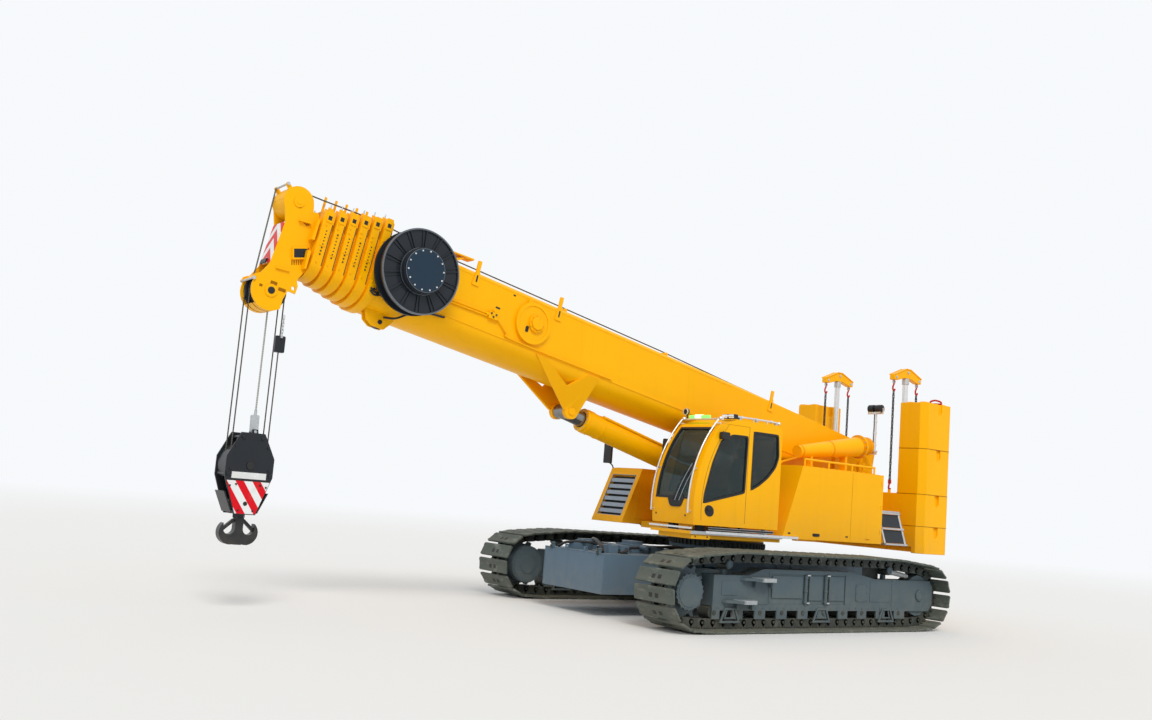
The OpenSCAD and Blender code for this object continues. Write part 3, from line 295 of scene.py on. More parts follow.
def glazing(name, tint, clear):
    """Tinted safety glass: alpha lets the cab show through, and a little dust lies in patches on each pane."""
    f = Finish(name, Specular_IOR_Level=0.45, IOR=1.5)
    smear = f.noise(5.0, 6.0, 0.6).above(0.45, 0.8)
    share = smear * 0.10
    return f.wear(f.mix(share, tint, DUST), 0.04 + smear * 0.10, None, Alpha=clear + share * 0.5)


def chevron_step(f):
    """Height along the hazard board plus the distance from its middle, so the stripes meet in a point at the top."""
    up = (-math.sin(BOOM_ANGLE), 0.0, math.cos(BOOM_ANGLE))
    return f.along(up) + f.along((0, 1, 0)).size() * 1.15


def block_step(f):
    """Height less a share of the distance along, which leans the stripes on the block's cheeks."""
    return (f.along((0, 0, 1)) - f.along((1, 0, 0)) * 1.45) * 0.568 + 10.0


def lit(name, colour, glow):
    """A lamp's lens: ribs over a bright body."""
    f = Finish(name, Roughness=0.15, Coat_Weight=0.6, Emission_Strength=glow)
    ribs = f.noise(90.0, 1.0)
    base = f.mix(ribs, dim(colour, 0.7), colour)
    return f.wear(base, 0.12 + ribs * 0.1, f.bumps(ribs, 0.0006), Emission_Color=base)


def laid_rope(name, colour):
    """Wire rope: strands laid round it, as slanted waves along its length, and darker in the grooves between them."""
    f = Finish(name, Metallic=0.6)
    slant = f.along((22, 22, 36))
    strand = f.add("ShaderNodeMath", {"operation": "SINE"}, slant * 6.0) * 0.5 + 0.5
    film = f.noise(14.0, 4.0)
    base = f.mix(strand * 0.7 + film * 0.3, dim(colour, 0.35), colour)
    return f.wear(base, 0.4 + film * 0.25, f.bumps(strand, 0.001))


def honed(name, colour):
    """Ground and chromed rod: fine rings round it and an oil film."""
    f = Finish(name, Metallic=0.9)
    ring = f.noise(60.0, 3.0, 0.6, (6.0, 0.3, 0.3))
    film = f.noise(3.0, 4.0).above(0.4, 0.8)
    base = f.mix(film, colour, dim(colour, 0.6))
    return f.wear(base, 0.18 + ring * 0.12 + film * 0.15, f.bumps(ring, 0.0001))


PAINT = {
    "yellow": painted("yellow_paint", srgb("#ffbc00"), srgb("#fcb100"), 0.16, 0.9, 2.3),
    "orange": painted("yellow_shade_paint", srgb("#f2a100"), srgb("#e89600"), 0.20, 0.9, 2.3),
    "blue": painted("frame_paint", srgb("#62788a"), srgb("#526675"), 0.42, 0.0, 1.0, 0.45, 0.1),
    "slate": painted("side_frame_paint", srgb("#56676f"), srgb("#47565e"), 0.30, 0.0, 1.0, 0.5, 0.05),
    "recess": painted("recess_shade", srgb("#a86a00"), srgb("#955c00"), 0.1, 0.9, 2.3),
    "track": cast("track_steel", srgb("#59635d"), srgb("#858b84"), 0.32, -0.4, 1.3, 0.25, 0.6),
    "rail": cast("track_link_steel", srgb("#38403d"), srgb("#646b66"), 0.28, -0.5, 1.2, 0.3, 0.5),
    "dark": cast("shoe_window", srgb("#20211f"), srgb("#2b2c29"), 0.15, -0.5, 1.2),
    "zinc": zinc("bare_steel", srgb("#d4d8da"), srgb("#a9afb3")),
    "tube": zinc("polished_tube", srgb("#f0f1f2"), srgb("#c8cccf"), 0.22),
    "black": painted("black_paint", srgb("#272b31"), srgb("#1e2227"), 0.22, 0.3, 1.8, 0.34, 0.3),
    "reel": painted("reel_black", srgb("#272d34"), srgb("#1d2228"), 0.10, 0.3, 1.8, 0.36, 0.3),
    "hub": painted("reel_hub", srgb("#213648"), srgb("#1b2d3d"), 0.06, 0.3, 1.8, 0.36, 0.2),
    "rubber": plain("black_plastic", srgb("#17181a"), 0.55),
    "fabric": plain("seat_fabric", srgb("#2a2d33"), 0.85, 0.0, 400.0, 0.0012),
    "glass": glazing("glass", srgb("#12292a"), 0.66),
    "screen": glazing("windscreen_glass", srgb("#1d3c40"), 0.58),
    "chain": cast("chain_steel", srgb("#26262a"), srgb("#4b4b4f"), 0.10, -2, -1, 0.5, 0.4),
    "red": painted("hook_red", srgb("#c62a1c"), srgb("#a82217"), 0.10, -2, -1, 0.4, 0.2),
    "sheave": cast("sheave_iron", srgb("#34363a"), srgb("#5f6164"), 0.10, -2, -1, 0.6, 0.4),
    "rope": laid_rope("rope_steel", srgb("#6b675f")),
    "pale_rope": laid_rope("pale_rope", srgb("#c9c8c2")),
    "rod": honed("cylinder_rod", srgb("#8f8f8c")),
    "white": plain("white_plate", srgb("#e4e6e6"), 0.35),
    "lamp": lit("lamp_lens", srgb("#f4f4ee"), 0.3),
    "beacon": lit("beacon_green", srgb("#7dff6a"), 1.2),
    "beacon_end": lit("beacon_end", srgb("#d2ffc8"), 2.2),
    "chevron": striped("head_board", chevron_step, 0.26, srgb("#dc0f08"), srgb("#eceeee")),
    "stripe": striped("block_stripes", block_step, 0.175, srgb("#d80a1e"), srgb("#e6e9ea")),
    "hose": plain("hose_rubber", srgb("#1c1d1e"), 0.45, 0.0, 200.0),
    # rim: a lighter grey for thin rings on the reel's rim and hub edges, a painted highlight where light catches those
    # edges
    "rim": plain("reel_rim_highlight", srgb("#6c737b"), 0.35, 0.5),
    "slat": plain("slat_grey", srgb("#9aa7b5"), 0.42, 0.3),
    "step": zinc("step_grating", srgb("#c3c8ca"), srgb("#979da1"), 0.45),
    "signal_blue": plain("blue_cap", srgb("#2a62b0"), 0.4),
}


# ---- forms


def outward(points, faces):
    """Turns the faces of an inside-out solid over: a . (b x c) summed over their fans is six times the volume."""
    fans = np.array([(q[0], q[k], q[k + 1]) for q in faces for k in range(1, len(q) - 1)])
    a, b, c = points[fans[:, 0]], points[fans[:, 1]], points[fans[:, 2]]
    if np.einsum("ij,ij->i", a, np.cross(b, c)).sum() < 0:
        faces = [q[::-1] for q in faces]
    return points, faces


def loft(rings, joined=False):
    """Rings of points skinned in turn: (i, j), (i, j+1), (i+1, j+1), (i+1, j). Flat caps close the ends, or the last
    ring joins the first."""
    rings = np.asarray(rings, float)
    m, n = rings.shape[:2]
    i, j = np.meshgrid(np.arange(m if joined else m - 1), np.arange(n), indexing="ij")
    quads = np.stack([i * n + j, i * n + (j + 1) % n, (i + 1) % m * n + (j + 1) % n, (i + 1) % m * n + j], -1)
    faces = quads.reshape(-1, 4).tolist()
    if not joined:
        faces += [list(range(n))[::-1], list(range((m - 1) * n, m * n))]
    return outward(rings.reshape(-1, 3), faces)


def lift(outline, place, way):
    """A flat outline set at a place along an axis: (x, z) for y, (y, z) for x, (x, y) for z."""
    o = np.asarray(outline, float)
    t = np.full(len(o), float(place))
    return np.stack({"x": (t, o[:, 0], o[:, 1]), "y": (o[:, 0], t, o[:, 1]), "z": (o[:, 0], o[:, 1], t)}[way], -1)


def slab(outline, a, b, way="y"):
    """An outline carried straight from a to b along an axis."""
    return loft([lift(outline, a, way), lift(outline, b, way)])


def oblong(u, w):
    """The corners of a rectangle between limits u and w."""
    return [(u[0], w[0]), (u[1], w[0]), (u[1], w[1]), (u[0], w[1])]


def block(x, y, z):
    """A box between pairs of limits."""
    return slab(oblong(x, z), y[0], y[1])


def rounded(outline, radius, steps=4):
    """Corners cut by arcs: p + r((1-t)^2 e + t^2 g) between the corner's two edges, e and g."""
    o = np.asarray(outline, float)
    e, g = np.roll(o, 1, 0) - o, np.roll(o, -1, 0) - o
    reach = np.minimum(radius, 0.45 * np.minimum(np.linalg.norm(e, axis=1), np.linalg.norm(g, axis=1)))[:, None]
    e, g = e / np.linalg.norm(e, axis=1)[:, None] * reach, g / np.linalg.norm(g, axis=1)[:, None] * reach
    t = np.linspace(0, 1, steps + 1)[None, :, None]
    return (o[:, None] + e[:, None] * (1 - t) ** 2 + g[:, None] * t ** 2).reshape(-1, 2)


def tile(u, w, r, a, b, way="y", steps=4):
    """A plate with limits u and w across the axis, a and b along it, its corners rounded by r."""
    return slab(rounded(oblong(u, w), r, steps) if r else oblong(u, w), a, b, way)


def band(centre, radii, angles, count):
    """Part of a ring: along the first radius between two angles in degrees, and back along a second one."""
    a = np.radians(np.linspace(*angles, count))
    return [(centre[0] + r * math.cos(t), centre[1] + r * math.sin(t)) for r, way in zip(radii, (a, a[::-1]))
            for t in way]


def spokes(centre, outline, angles, a, b):
    """Flat bars round a centre, drawn outwards along u: x = u cos - w sin, z = u sin + w cos."""
    turns = [(math.cos(t), math.sin(t)) for t in angles]
    return [slab([(centre[0] + u * c - w * s, centre[1] + u * s + w * c) for u, w in outline], a, b)
            for c, s in turns]


def inset(outline, d):
    """An outline drawn in by d: each corner moves along the mean of its two edges' inward normals, by d over the cosine
    of half the turn."""
    o = np.asarray(outline, float)
    area = np.sum(o[:, 0] * np.roll(o[:, 1], -1) - np.roll(o[:, 0], -1) * o[:, 1])
    edge = np.roll(o, -1, 0) - o
    edge = edge / np.linalg.norm(edge, axis=1)[:, None]
    normal = np.stack([-edge[:, 1], edge[:, 0]], -1) * np.sign(area)
    mean = normal + np.roll(normal, 1, 0)
    return o + mean * (d * 2 / np.sum(mean * mean, axis=1))[:, None]


def hoop(outline, width, a, b, way="y"):
    """A frame round an opening: the outline and its inset, between a and b."""
    inner = inset(outline, width)
    return loft([lift(outline, a, way), lift(outline, b, way), lift(inner, b, way), lift(inner, a, way)], joined=True)


def around(n, start=0.0):
    """Equal angles round a circle."""
    return start + np.arange(n) * 2 * math.pi / n


def turned(profile, at, way="y", n=32, ring=False):
    """A profile of (radius r, place t) turned about an axis through at: centre + r (cos, sin) across, t along."""
    r, t = np.asarray(profile, float).T
    angle = around(n)
    u, w, t = r[:, None] * np.cos(angle), r[:, None] * np.sin(angle), t[:, None] + 0 * angle
    rings = np.stack({"x": (t, u, w), "y": (u, t, w), "z": (u, w, t)}[way], -1) + np.asarray(at, float)
    return loft(rings, joined=ring)


def disc(at, r, a, b, way="y", n=32, edge=0.0):
    """A round plate from a to b along its axis, its edges eased."""
    profile = [(r - edge, a), (r, a + edge), (r, b - edge), (r - edge, b)] if edge else [(r, a), (r, b)]
    return turned(profile, at, way, n)


def washer(at, r0, r1, a, b, way="y", n=32):
    """A flat ring from radius r0 to r1."""
    return turned([(r0, a), (r1, a), (r1, b), (r0, b)], at, way, n, ring=True)


def sided(direction):
    """Two unit vectors across each direction."""
    d = np.asarray(direction, float)
    d = d / np.linalg.norm(d, axis=-1, keepdims=True)
    helper = np.eye(3)[np.argmin(np.abs(d).reshape(-1, 3).max(0))]
    u = np.cross(d, helper)
    u = u / np.linalg.norm(u, axis=-1, keepdims=True)
    return u, np.cross(d, u)


def pipe(points, r, n=10):
    """A round section carried along points: p + r (u cos a + w sin a), with u and w across the path's direction."""
    p = np.asarray(points, float)
    u, w = sided(np.gradient(p, axis=0))
    angle = around(n)
    across = u[:, None] * np.cos(angle)[:, None] + w[:, None] * np.sin(angle)[:, None]
    return loft(p[:, None] + across * np.broadcast_to(np.asarray(r, float), (len(p),))[:, None, None])


def eased(points, per=8):
    """A smooth line through points: each span is the cubic whose ends lean along the chord of their neighbours."""
    p = np.asarray(points, float)
    q = np.vstack([2 * p[0] - p[1], p, 2 * p[-1] - p[-2]])
    a, b, c, d = q[:-3, None], q[1:-2, None], q[2:-1, None], q[3:, None]
    t = (np.arange(per) / per)[None, :, None]
    line = 0.5 * (2 * b + (c - a) * t + (2 * a - 5 * b + 4 * c - d) * t ** 2 + (3 * b - a - 3 * c + d) * t ** 3)
    return np.vstack([line.reshape(-1, 3), p[-1]])


def studs(points, way, r, h, n=6):
    """Bolt heads at points, standing h along an axis."""
    points = np.asarray(points, float).reshape(-1, 3)
    low, high = sorted((0.0, h))
    return merged(disc(p, r, low, high, way, n) for p in points)


def circle(at, r, count, way="y", start=0.0):
    """Points spread round a circle."""
    angle = around(count, start)
    c, s, o = r * np.cos(angle), r * np.sin(angle), 0 * angle
    return np.stack({"x": (o, c, s), "y": (c, o, s), "z": (c, s, o)}[way], -1) + np.asarray(at, float)


def flat(solids):
    """Solids out of lists within lists."""
    for solid in solids:
        if isinstance(solid, tuple):
            yield solid
        else:
            yield from flat(solid)


def merged(*solids):
    """Several solids, or lists of them, as one list of points and faces."""
    points, faces, count = [], [], 0
    for p, f in flat(solids):
        points.append(p)
        faces += [[k + count for k in q] for q in f]
        count += len(p)
    return np.concatenate(points), faces


def repeated(solid, frames):
    """One solid at each of many places. frames holds 3 by 4 arrays: three columns turn it, the last moves it."""
    p, f = solid
    frames = np.asarray(frames, float)
    spread = np.einsum("kab,nb->kna", frames[:, :, :3], p) + frames[:, None, :, 3]
    return spread.reshape(-1, 3), [[k + c * len(p) for k in q] for c in range(len(frames)) for q in f]


def far(*solids):
    """The same solids on the other side of the crane: y changes sign, and the faces turn over."""
    p, f = merged(*solids)
    return p * [1, -1, 1], [q[::-1] for q in f]


def both(*solids):
    """Solids on both sides."""
    near = merged(*solids)
    return merged(near, far(near))


SIDES = (("left", 1, merged), ("right", -1, far))


def chain(top, bottom, pitch=62.0, wire=8.5, width=17.0):
    """A welded chain: each link is a wire carried round a stadium, and every other link is turned a quarter."""
    top, bottom = np.asarray(top, float), np.asarray(bottom, float)
    count = int(round(np.linalg.norm(top - bottom) / pitch))
    reach = pitch / 2 + wire * 1.9
    a = around(12)
    line = np.stack([np.cos(a) * width, 0 * a, np.sin(a) * width + np.sign(np.sin(a)) * (reach - width)], -1)
    out = np.stack([np.cos(a), 0 * a, np.sin(a)], -1)
    b = around(6)
    rings = line[:, None] + wire * (out[:, None] * np.cos(b)[:, None] + np.array([0, 1.0, 0]) * np.sin(b)[:, None])
    link = loft(rings, joined=True)
    level = np.array([[1, 0, 0], [0, 1, 0], [0, 0, 1.0]])
    turn = np.array([[0, -1, 0], [1, 0, 0], [0, 0, 1.0]])
    middle = top + (bottom - top) * ((np.arange(count) + 0.5) / count)[:, None]
    return repeated(link, [np.hstack([(level, turn)[k % 2], middle[k][:, None]]) for k in range(count)])


# ---- pieces


def built(name, mesh, body, paints, bevel, angle):
    """Puts a mesh in the scene, smooth except over sharp edges, with its edges eased, riding on a body."""
    for paint in paints:
        mesh.materials.append(PAINT[paint])
    mesh.polygons.foreach_set("use_smooth", np.ones(len(mesh.polygons), bool))
    mesh.set_sharp_from_angle(angle=math.radians(angle))
    piece = bpy.data.objects.new(name, mesh)
    bpy.context.scene.collection.objects.link(piece)
    if bevel:
        ease = piece.modifiers.new("eased_edges", "BEVEL")
        ease.width, ease.segments, ease.limit_method, ease.angle_limit = bevel / 1000, 2, "ANGLE", math.radians(35)
        ease.harden_normals = False
    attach(piece, body)
    return piece


def make(name, body, *parts, place=upright, bevel=0.0, angle=32.0):
    """A new piece. Each part is a paint and the solids in it, drawn in millimetres and set down by place."""
    solids = [(paint, merged(some)) for paint, *some in parts]
    points, faces = merged(solid for _, solid in solids)
    mesh = bpy.data.meshes.new(name)
    mesh.from_pydata((place(points) / 1000).tolist(), [], faces)
    paints = list(dict.fromkeys(paint for paint, _ in solids))
    index = np.concatenate([np.full(len(solid[1]), paints.index(paint)) for paint, solid in solids])
    mesh.polygons.foreach_set("material_index", index.astype(np.int32))
    mesh.update()
    return built(name, mesh, body, paints, bevel, angle)


def blended(piece, first, second, start, end):
    """Takes a piece off its body and bakes where it stands into its mesh. first, second, start and end are not used."""
    piece.parent = None
    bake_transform(piece)
    return piece


def carved(mesh, solid):
    """A mesh less a solid, cut by the exact boolean."""
    tool = bpy.data.meshes.new("cutter")
    tool.from_pydata((solid[0] / 1000).tolist(), [], solid[1])
    pair = [bpy.data.objects.new(name, data) for name, data in (("carved", mesh), ("cutter", tool))]
    for item in pair:
        bpy.context.scene.collection.objects.link(item)
    cut = pair[0].modifiers.new("cut", "BOOLEAN")
    cut.operation, cut.object, cut.solver = "DIFFERENCE", pair[1], "EXACT"
    bpy.context.view_layer.update()
    result = bpy.data.meshes.new_from_object(pair[0].evaluated_get(bpy.context.evaluated_depsgraph_get()))
    for item in pair:
        bpy.data.objects.remove(item)
    return result


def dressed(node, *paints, bevel=0.0, angle=28.0, cut=None):
    """A CAD node's own shape, welded and eased, in place of it. paints are a paint, then pairs of a paint and a test on
    the faces' middles in millimetres. cut is a solid that is taken away."""
    mesh = frame["nodes"][node].data.copy()
    mesh.name = node + "_finished"
    shell = bmesh.new()
    shell.from_mesh(mesh)
    bmesh.ops.remove_doubles(shell, verts=shell.verts, dist=2e-5)
    bmesh.ops.dissolve_limit(shell, angle_limit=math.radians(0.6), verts=shell.verts, edges=shell.edges)
    shell.to_mesh(mesh)
    shell.free()
    if cut is not None:
        mesh = carved(mesh, cut)
    if mesh.has_custom_normals:
        mesh.attributes.remove(mesh.attributes["custom_normal"])
    mesh.materials.clear()
    middle = np.zeros(3 * len(mesh.polygons))
    mesh.polygons.foreach_get("center", middle)
    middle = middle.reshape(-1, 3) * 1000
    index = np.zeros(len(middle), np.int32)
    for k, (_, test) in enumerate(paints[1:], 1):
        index[test(middle)] = k
    mesh.polygons.foreach_set("material_index", index)
    names = [paints[0]] + [paint for paint, _ in paints[1:]]
    body = frame["nodes"][node]["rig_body"]
    piece = built(node + "_finished", mesh, body, names, bevel, angle)
    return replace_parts(piece, node)


# ---- crawlers

TRACK_LENGTH, TRACK_HEIGHT, PIN_R, PIN_DEPTH = 6245.0, 1131.0, 400.0, 120.0
END_X, END_Z = TRACK_LENGTH / 2 - PIN_R - PIN_DEPTH, PIN_R + PIN_DEPTH + 20
GROUND_X, CARRIER_X, TOP_Z = 2250.0, 1820.0, TRACK_HEIGHT - PIN_DEPTH


def link_places():
    """Middle and heading of every track link. The pin line is level on the ground, climbs to the sprocket, turns round
    it on a circle, falls away over the carriers, and comes back round the idler."""
    up, over = (END_X - GROUND_X, END_Z - PIN_DEPTH), (CARRIER_X - END_X, TOP_Z - END_Z)
    rise, fall = math.hypot(*up), math.hypot(*over)
    rise_a = math.atan2(up[1], up[0]) - math.asin(PIN_R / rise)
    fall_a = math.atan2(over[1], over[0]) + math.asin(PIN_R / fall)
    rise_l, fall_l = math.sqrt(rise ** 2 - PIN_R ** 2), math.sqrt(fall ** 2 - PIN_R ** 2)
    turn, full = fall_a - rise_a, 2 * math.pi
    # each run has a length, a heading at its start and how far it turns; it is walked in steps of 2 mm
    runs = [(2 * GROUND_X, 0, 0), (rise_l, rise_a, 0), (PIN_R * turn, rise_a, turn), (fall_l, fall_a, 0),
            (2 * CARRIER_X, math.pi, 0), (fall_l, full - fall_a, 0), (PIN_R * turn, full - fall_a, turn),
            (rise_l, full - rise_a, 0)]
    heading = np.concatenate([a + t * (np.arange(int(length / 2)) + 0.5) / int(length / 2) for length, a, t in runs])
    hop = np.concatenate([np.full(int(length / 2), length / int(length / 2)) for length, a, t in runs])
    line = np.vstack([[0, 0], np.cumsum(np.stack([np.cos(heading) * hop, np.sin(heading) * hop], -1), 0)])
    line += [-GROUND_X, PIN_DEPTH]
    along = np.concatenate([[0], np.cumsum(hop)])
    count = int(round(hop.sum() / LINK_PITCH))
    at = np.arange(count) * hop.sum() / count
    pins = np.stack([np.interp(at, along, line[:, 0]), np.interp(at, along, line[:, 1])], -1)
    return pins, np.roll(pins, -1, 0) - pins


def link_frames(places, moves):
    """Frames whose first column runs along the link and third points into the loop."""
    x, z = (moves / np.linalg.norm(moves, axis=1)[:, None]).T
    o = np.zeros(len(x))
    rows = np.stack([x, o, -z, places[:, 0], o, o + 1, o, o + GAUGE_HALF, z, o, x, places[:, 1]], -1)
    return rows.reshape(-1, 3, 4)


def shoe():
    """A track shoe: its section along the link is carried across the track and drawn in at both ends. A low rib stands
    at its leading edge."""
    section = np.array([(-4, -86), (201, -86), (207, -96), (203, -117), (175, -120), (157, -112), (38, -112),
                        (22, -119), (0, -116), (-5, -100)], float)
    middle = section.mean(0)
    ends = ((-399, 0.84), (-392, 0.95), (-368, 1.0), (368, 1.0), (392, 0.95), (399, 0.84))
    return loft([lift(middle + (section - middle) * keep, y, "y") for y, keep in ends])


def link_plate(y0, y1):
    """A chain link's side: two bosses round the pins, a rail inside the loop and a foot on the shoe."""
    front = [(LINK_PITCH + x, z) for x, z in band((0, 0), (46,), (40, -60), 4)]
    back = [(-x, z) for x, z in band((0, 0), (46,), (-60, 40), 4)]
    foot = [(196, -86), (120, -86), (100, -66), (80, -86), (14, -86)]
    return slab([(30, 54), (175, 54), *front, *foot, *back], y0, y1)


def tracks():
    """Both crawler chains, link by link."""
    frames = link_frames(*link_places())
    marks = [block((58, 118), (y - 34, y + 34), (-113.5, -100)) for y in (-62, 62)]
    links = [link_plate(*y) for y in ((50, 76), (84, 108), (-76, -50), (-108, -84))]
    links += [disc((0, 0, 0), 21, -122, 122, "y", 8)]
    links += [studs([(x, y, -86) for x in (60, 150) for y in (-130, -30, 30, 130)], "z", 15, 16)]
    whole = [(paint, repeated(merged(solid), frames))
             for paint, solid in (("track", shoe()), ("dark", marks), ("rail", links))]
    for side, _, turn in SIDES:
        piece = make(side + "_track_chain", side + "_crawler",
                     *[(paint, turn(solid)) for paint, solid in whole], angle=40)
        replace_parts(piece, side + "_track")


def side_frames():
    """What is fixed on each crawler's side frame: steps, straps, chain guards, hub bolts and pipes."""
    mid, face = GAUGE_HALF, GAUGE_HALF + 140.0
    steps, gussets = [], []
    for x0, x1, z in ((900, 1600, 760), (1280, 1950, 445)):
        plan = [(x0, face - 1), (x1 - 230, face - 1), (x1 - 330, face + 170), (x0 + 120, face + 170)]
        steps.append(slab(plan, z - 56, z, "z"))
        steps += [block((x, x + 12), (face + 14, face + 150), (z, z + 6)) for x in np.arange(x0 + 130, x1 - 340, 36)]
        corner = [(x1 - 240, face - 1), (x1, face - 1), (x1 - 40, face + 60), (x1 - 300, face + 160)]
        gussets.append(slab(corner, z - 48, z - 8, "z"))
        gussets += [block((x, x + 18), (face - 1, face + 60), (z - 140, z - 50)) for x in (x0 + 90, x1 - 280)]
    rods, clips, links = [], [], []
    for x in (205.0, -250.0):
        rods.append(disc((x, face + 10, 0), 27, 385, 810, "z", 16))
        rods += [disc((x, face + 10, 0), 34, z, z + 30, "z", 16, 4) for z in (400, 560, 760)]
        clips += [block((x - 92, x - 22), (face - 13, face + 24), (z, z + 22)) for z in (392, 800)]
        links.append(chain((x - 58, face + 14, 812), (x - 58, face + 14, 396), 46, 7, 13))
    hoops = (hoop([(-105, 330), (105, 330), (205, 118), (-205, 118)], 30, 0, 24),
             hoop([(-52, 330), (52, 330), (112, 176), (-112, 176)], 20, 0, 14))
    guards = [(p + [x, y, 0], f) for p, f in hoops for x in (1775, -181, -1748) for y in (face - 2, face - 304)]
    axles = [disc((-2080 + k * 4160 / 9, face, 260), 34, -2, 10, "y", 14) for k in range(10)]
    edges = [block(x, (face - 1, face + high), z)
             for x, z, high in (((1000, 1560), (376, 395), 8), ((980, 1000), (395, 835), 8),
                                ((-740, -720), (380, 830), 8), ((-1900, -1880), (352, 780), 6))]
    panels = [tile(x, z, 16, face - 1, face + 7)
              for x, z in (((-1850, -1330), (430, 760)), ((-690, -320), (440, 800)), ((-180, 120), (440, 800)),
                           ((270, 930), (470, 790)), ((1640, 1960), (500, 700)))]
    cover = [tile((-1260, -980), (430, 700), 40, face - 1, face + 9),
             studs([(x, face + 9, z) for x in (-1235, -1005) for z in (455, 565, 675)], "y", 11, 9),
             studs([(x, face, 325) for x in np.arange(-2050, 2060, 150)], "y", 10, 8)]
    ends = [disc((x, 0, 930), 62, mid + 106, face, "y", 28, 8) for x in (CARRIER_X, -CARRIER_X)]
    ends += [washer((CARRIER_X, 0, 930), 40, 54, face - 2, face + 8, "y", 28)]
    sleeve, skin = turned([(30, -450), (36, -440), (44, -30), (50, -20), (50, 0)], (0, 0, 0), "x", 24)
    sleeve = tipped(sleeve, np.array([-1868.0, face - 42, 905.0]), 0.13), skin
    tensioner = [disc((0, mid, 640), 62, -2560, -2150, "x", 20, 6), disc((0, mid, 640), 74, -2260, -2170, "x", 20, 6)]
    hubs = [disc((END_X, 0, END_Z), 204, mid + 182, mid + 196, "y", 60, 4),
            studs(circle((END_X, mid + 178, END_Z), 212, 20), "y", 17, 12, 12),
            block((END_X - 2, END_X + 2), (mid + 195, mid + 197.5), (END_Z - 198, END_Z + 198)),
            disc((-END_X, 0, END_Z), 88, mid + 139, mid + 168, "y", 32, 8),
            studs(circle((-END_X, mid + 168, END_Z), 62, 8), "y", 9, 8),
            washer((END_X, 0, END_Z), 225, 292, mid - 282, mid - 276, "y", 48),
            studs(circle((END_X, mid - 292, END_Z), 278, 24), "y", 11, 12),
            disc((END_X, 0, END_Z), 150, mid - 302, mid - 290, "y", 40, 6)]
    hoses = [pipe(eased([(2320, 1560 - d, 640), (2200, 1500 - d, 760), (1960, 1320 - d, 850 + d / 2),
                         (1640, 980, 870), (1500, 742, 840 + d / 2)]), 17, 8) for d in (0, 55)]
    wall = block((-1790, -1400), (mid - 80, mid - 68), (780, 948))
    for side, sign, turn in SIDES:
        body = side + "_crawler"
        make(side + "_steps", body, ("step", turn(steps)), ("slate", turn(gussets)), bevel=4)
        make(side + "_frame_hoses", body, ("slate", turn(rods)), ("rail", turn(links)),
             ("zinc", turn(clips)), bevel=2)
        make(side + "_frame_fittings", body, ("slate", turn(edges, panels, cover, guards, ends)),
             ("rail", turn(axles, wall)), ("step", turn(sleeve)), bevel=3)
        make(side + "_tensioner", body, ("zinc", turn(tensioner)))
        make(side + "_hubs", body, ("slate", turn(hubs)), bevel=2)
        loop = make(side + "_drive_hoses", body, ("hose", turn(hoses)))
        blended(loop, body, "undercarriage", (2.32, sign * 1.5, 0.64), (1.5, sign * 0.75, 0.84))


# ---- car body and turntable


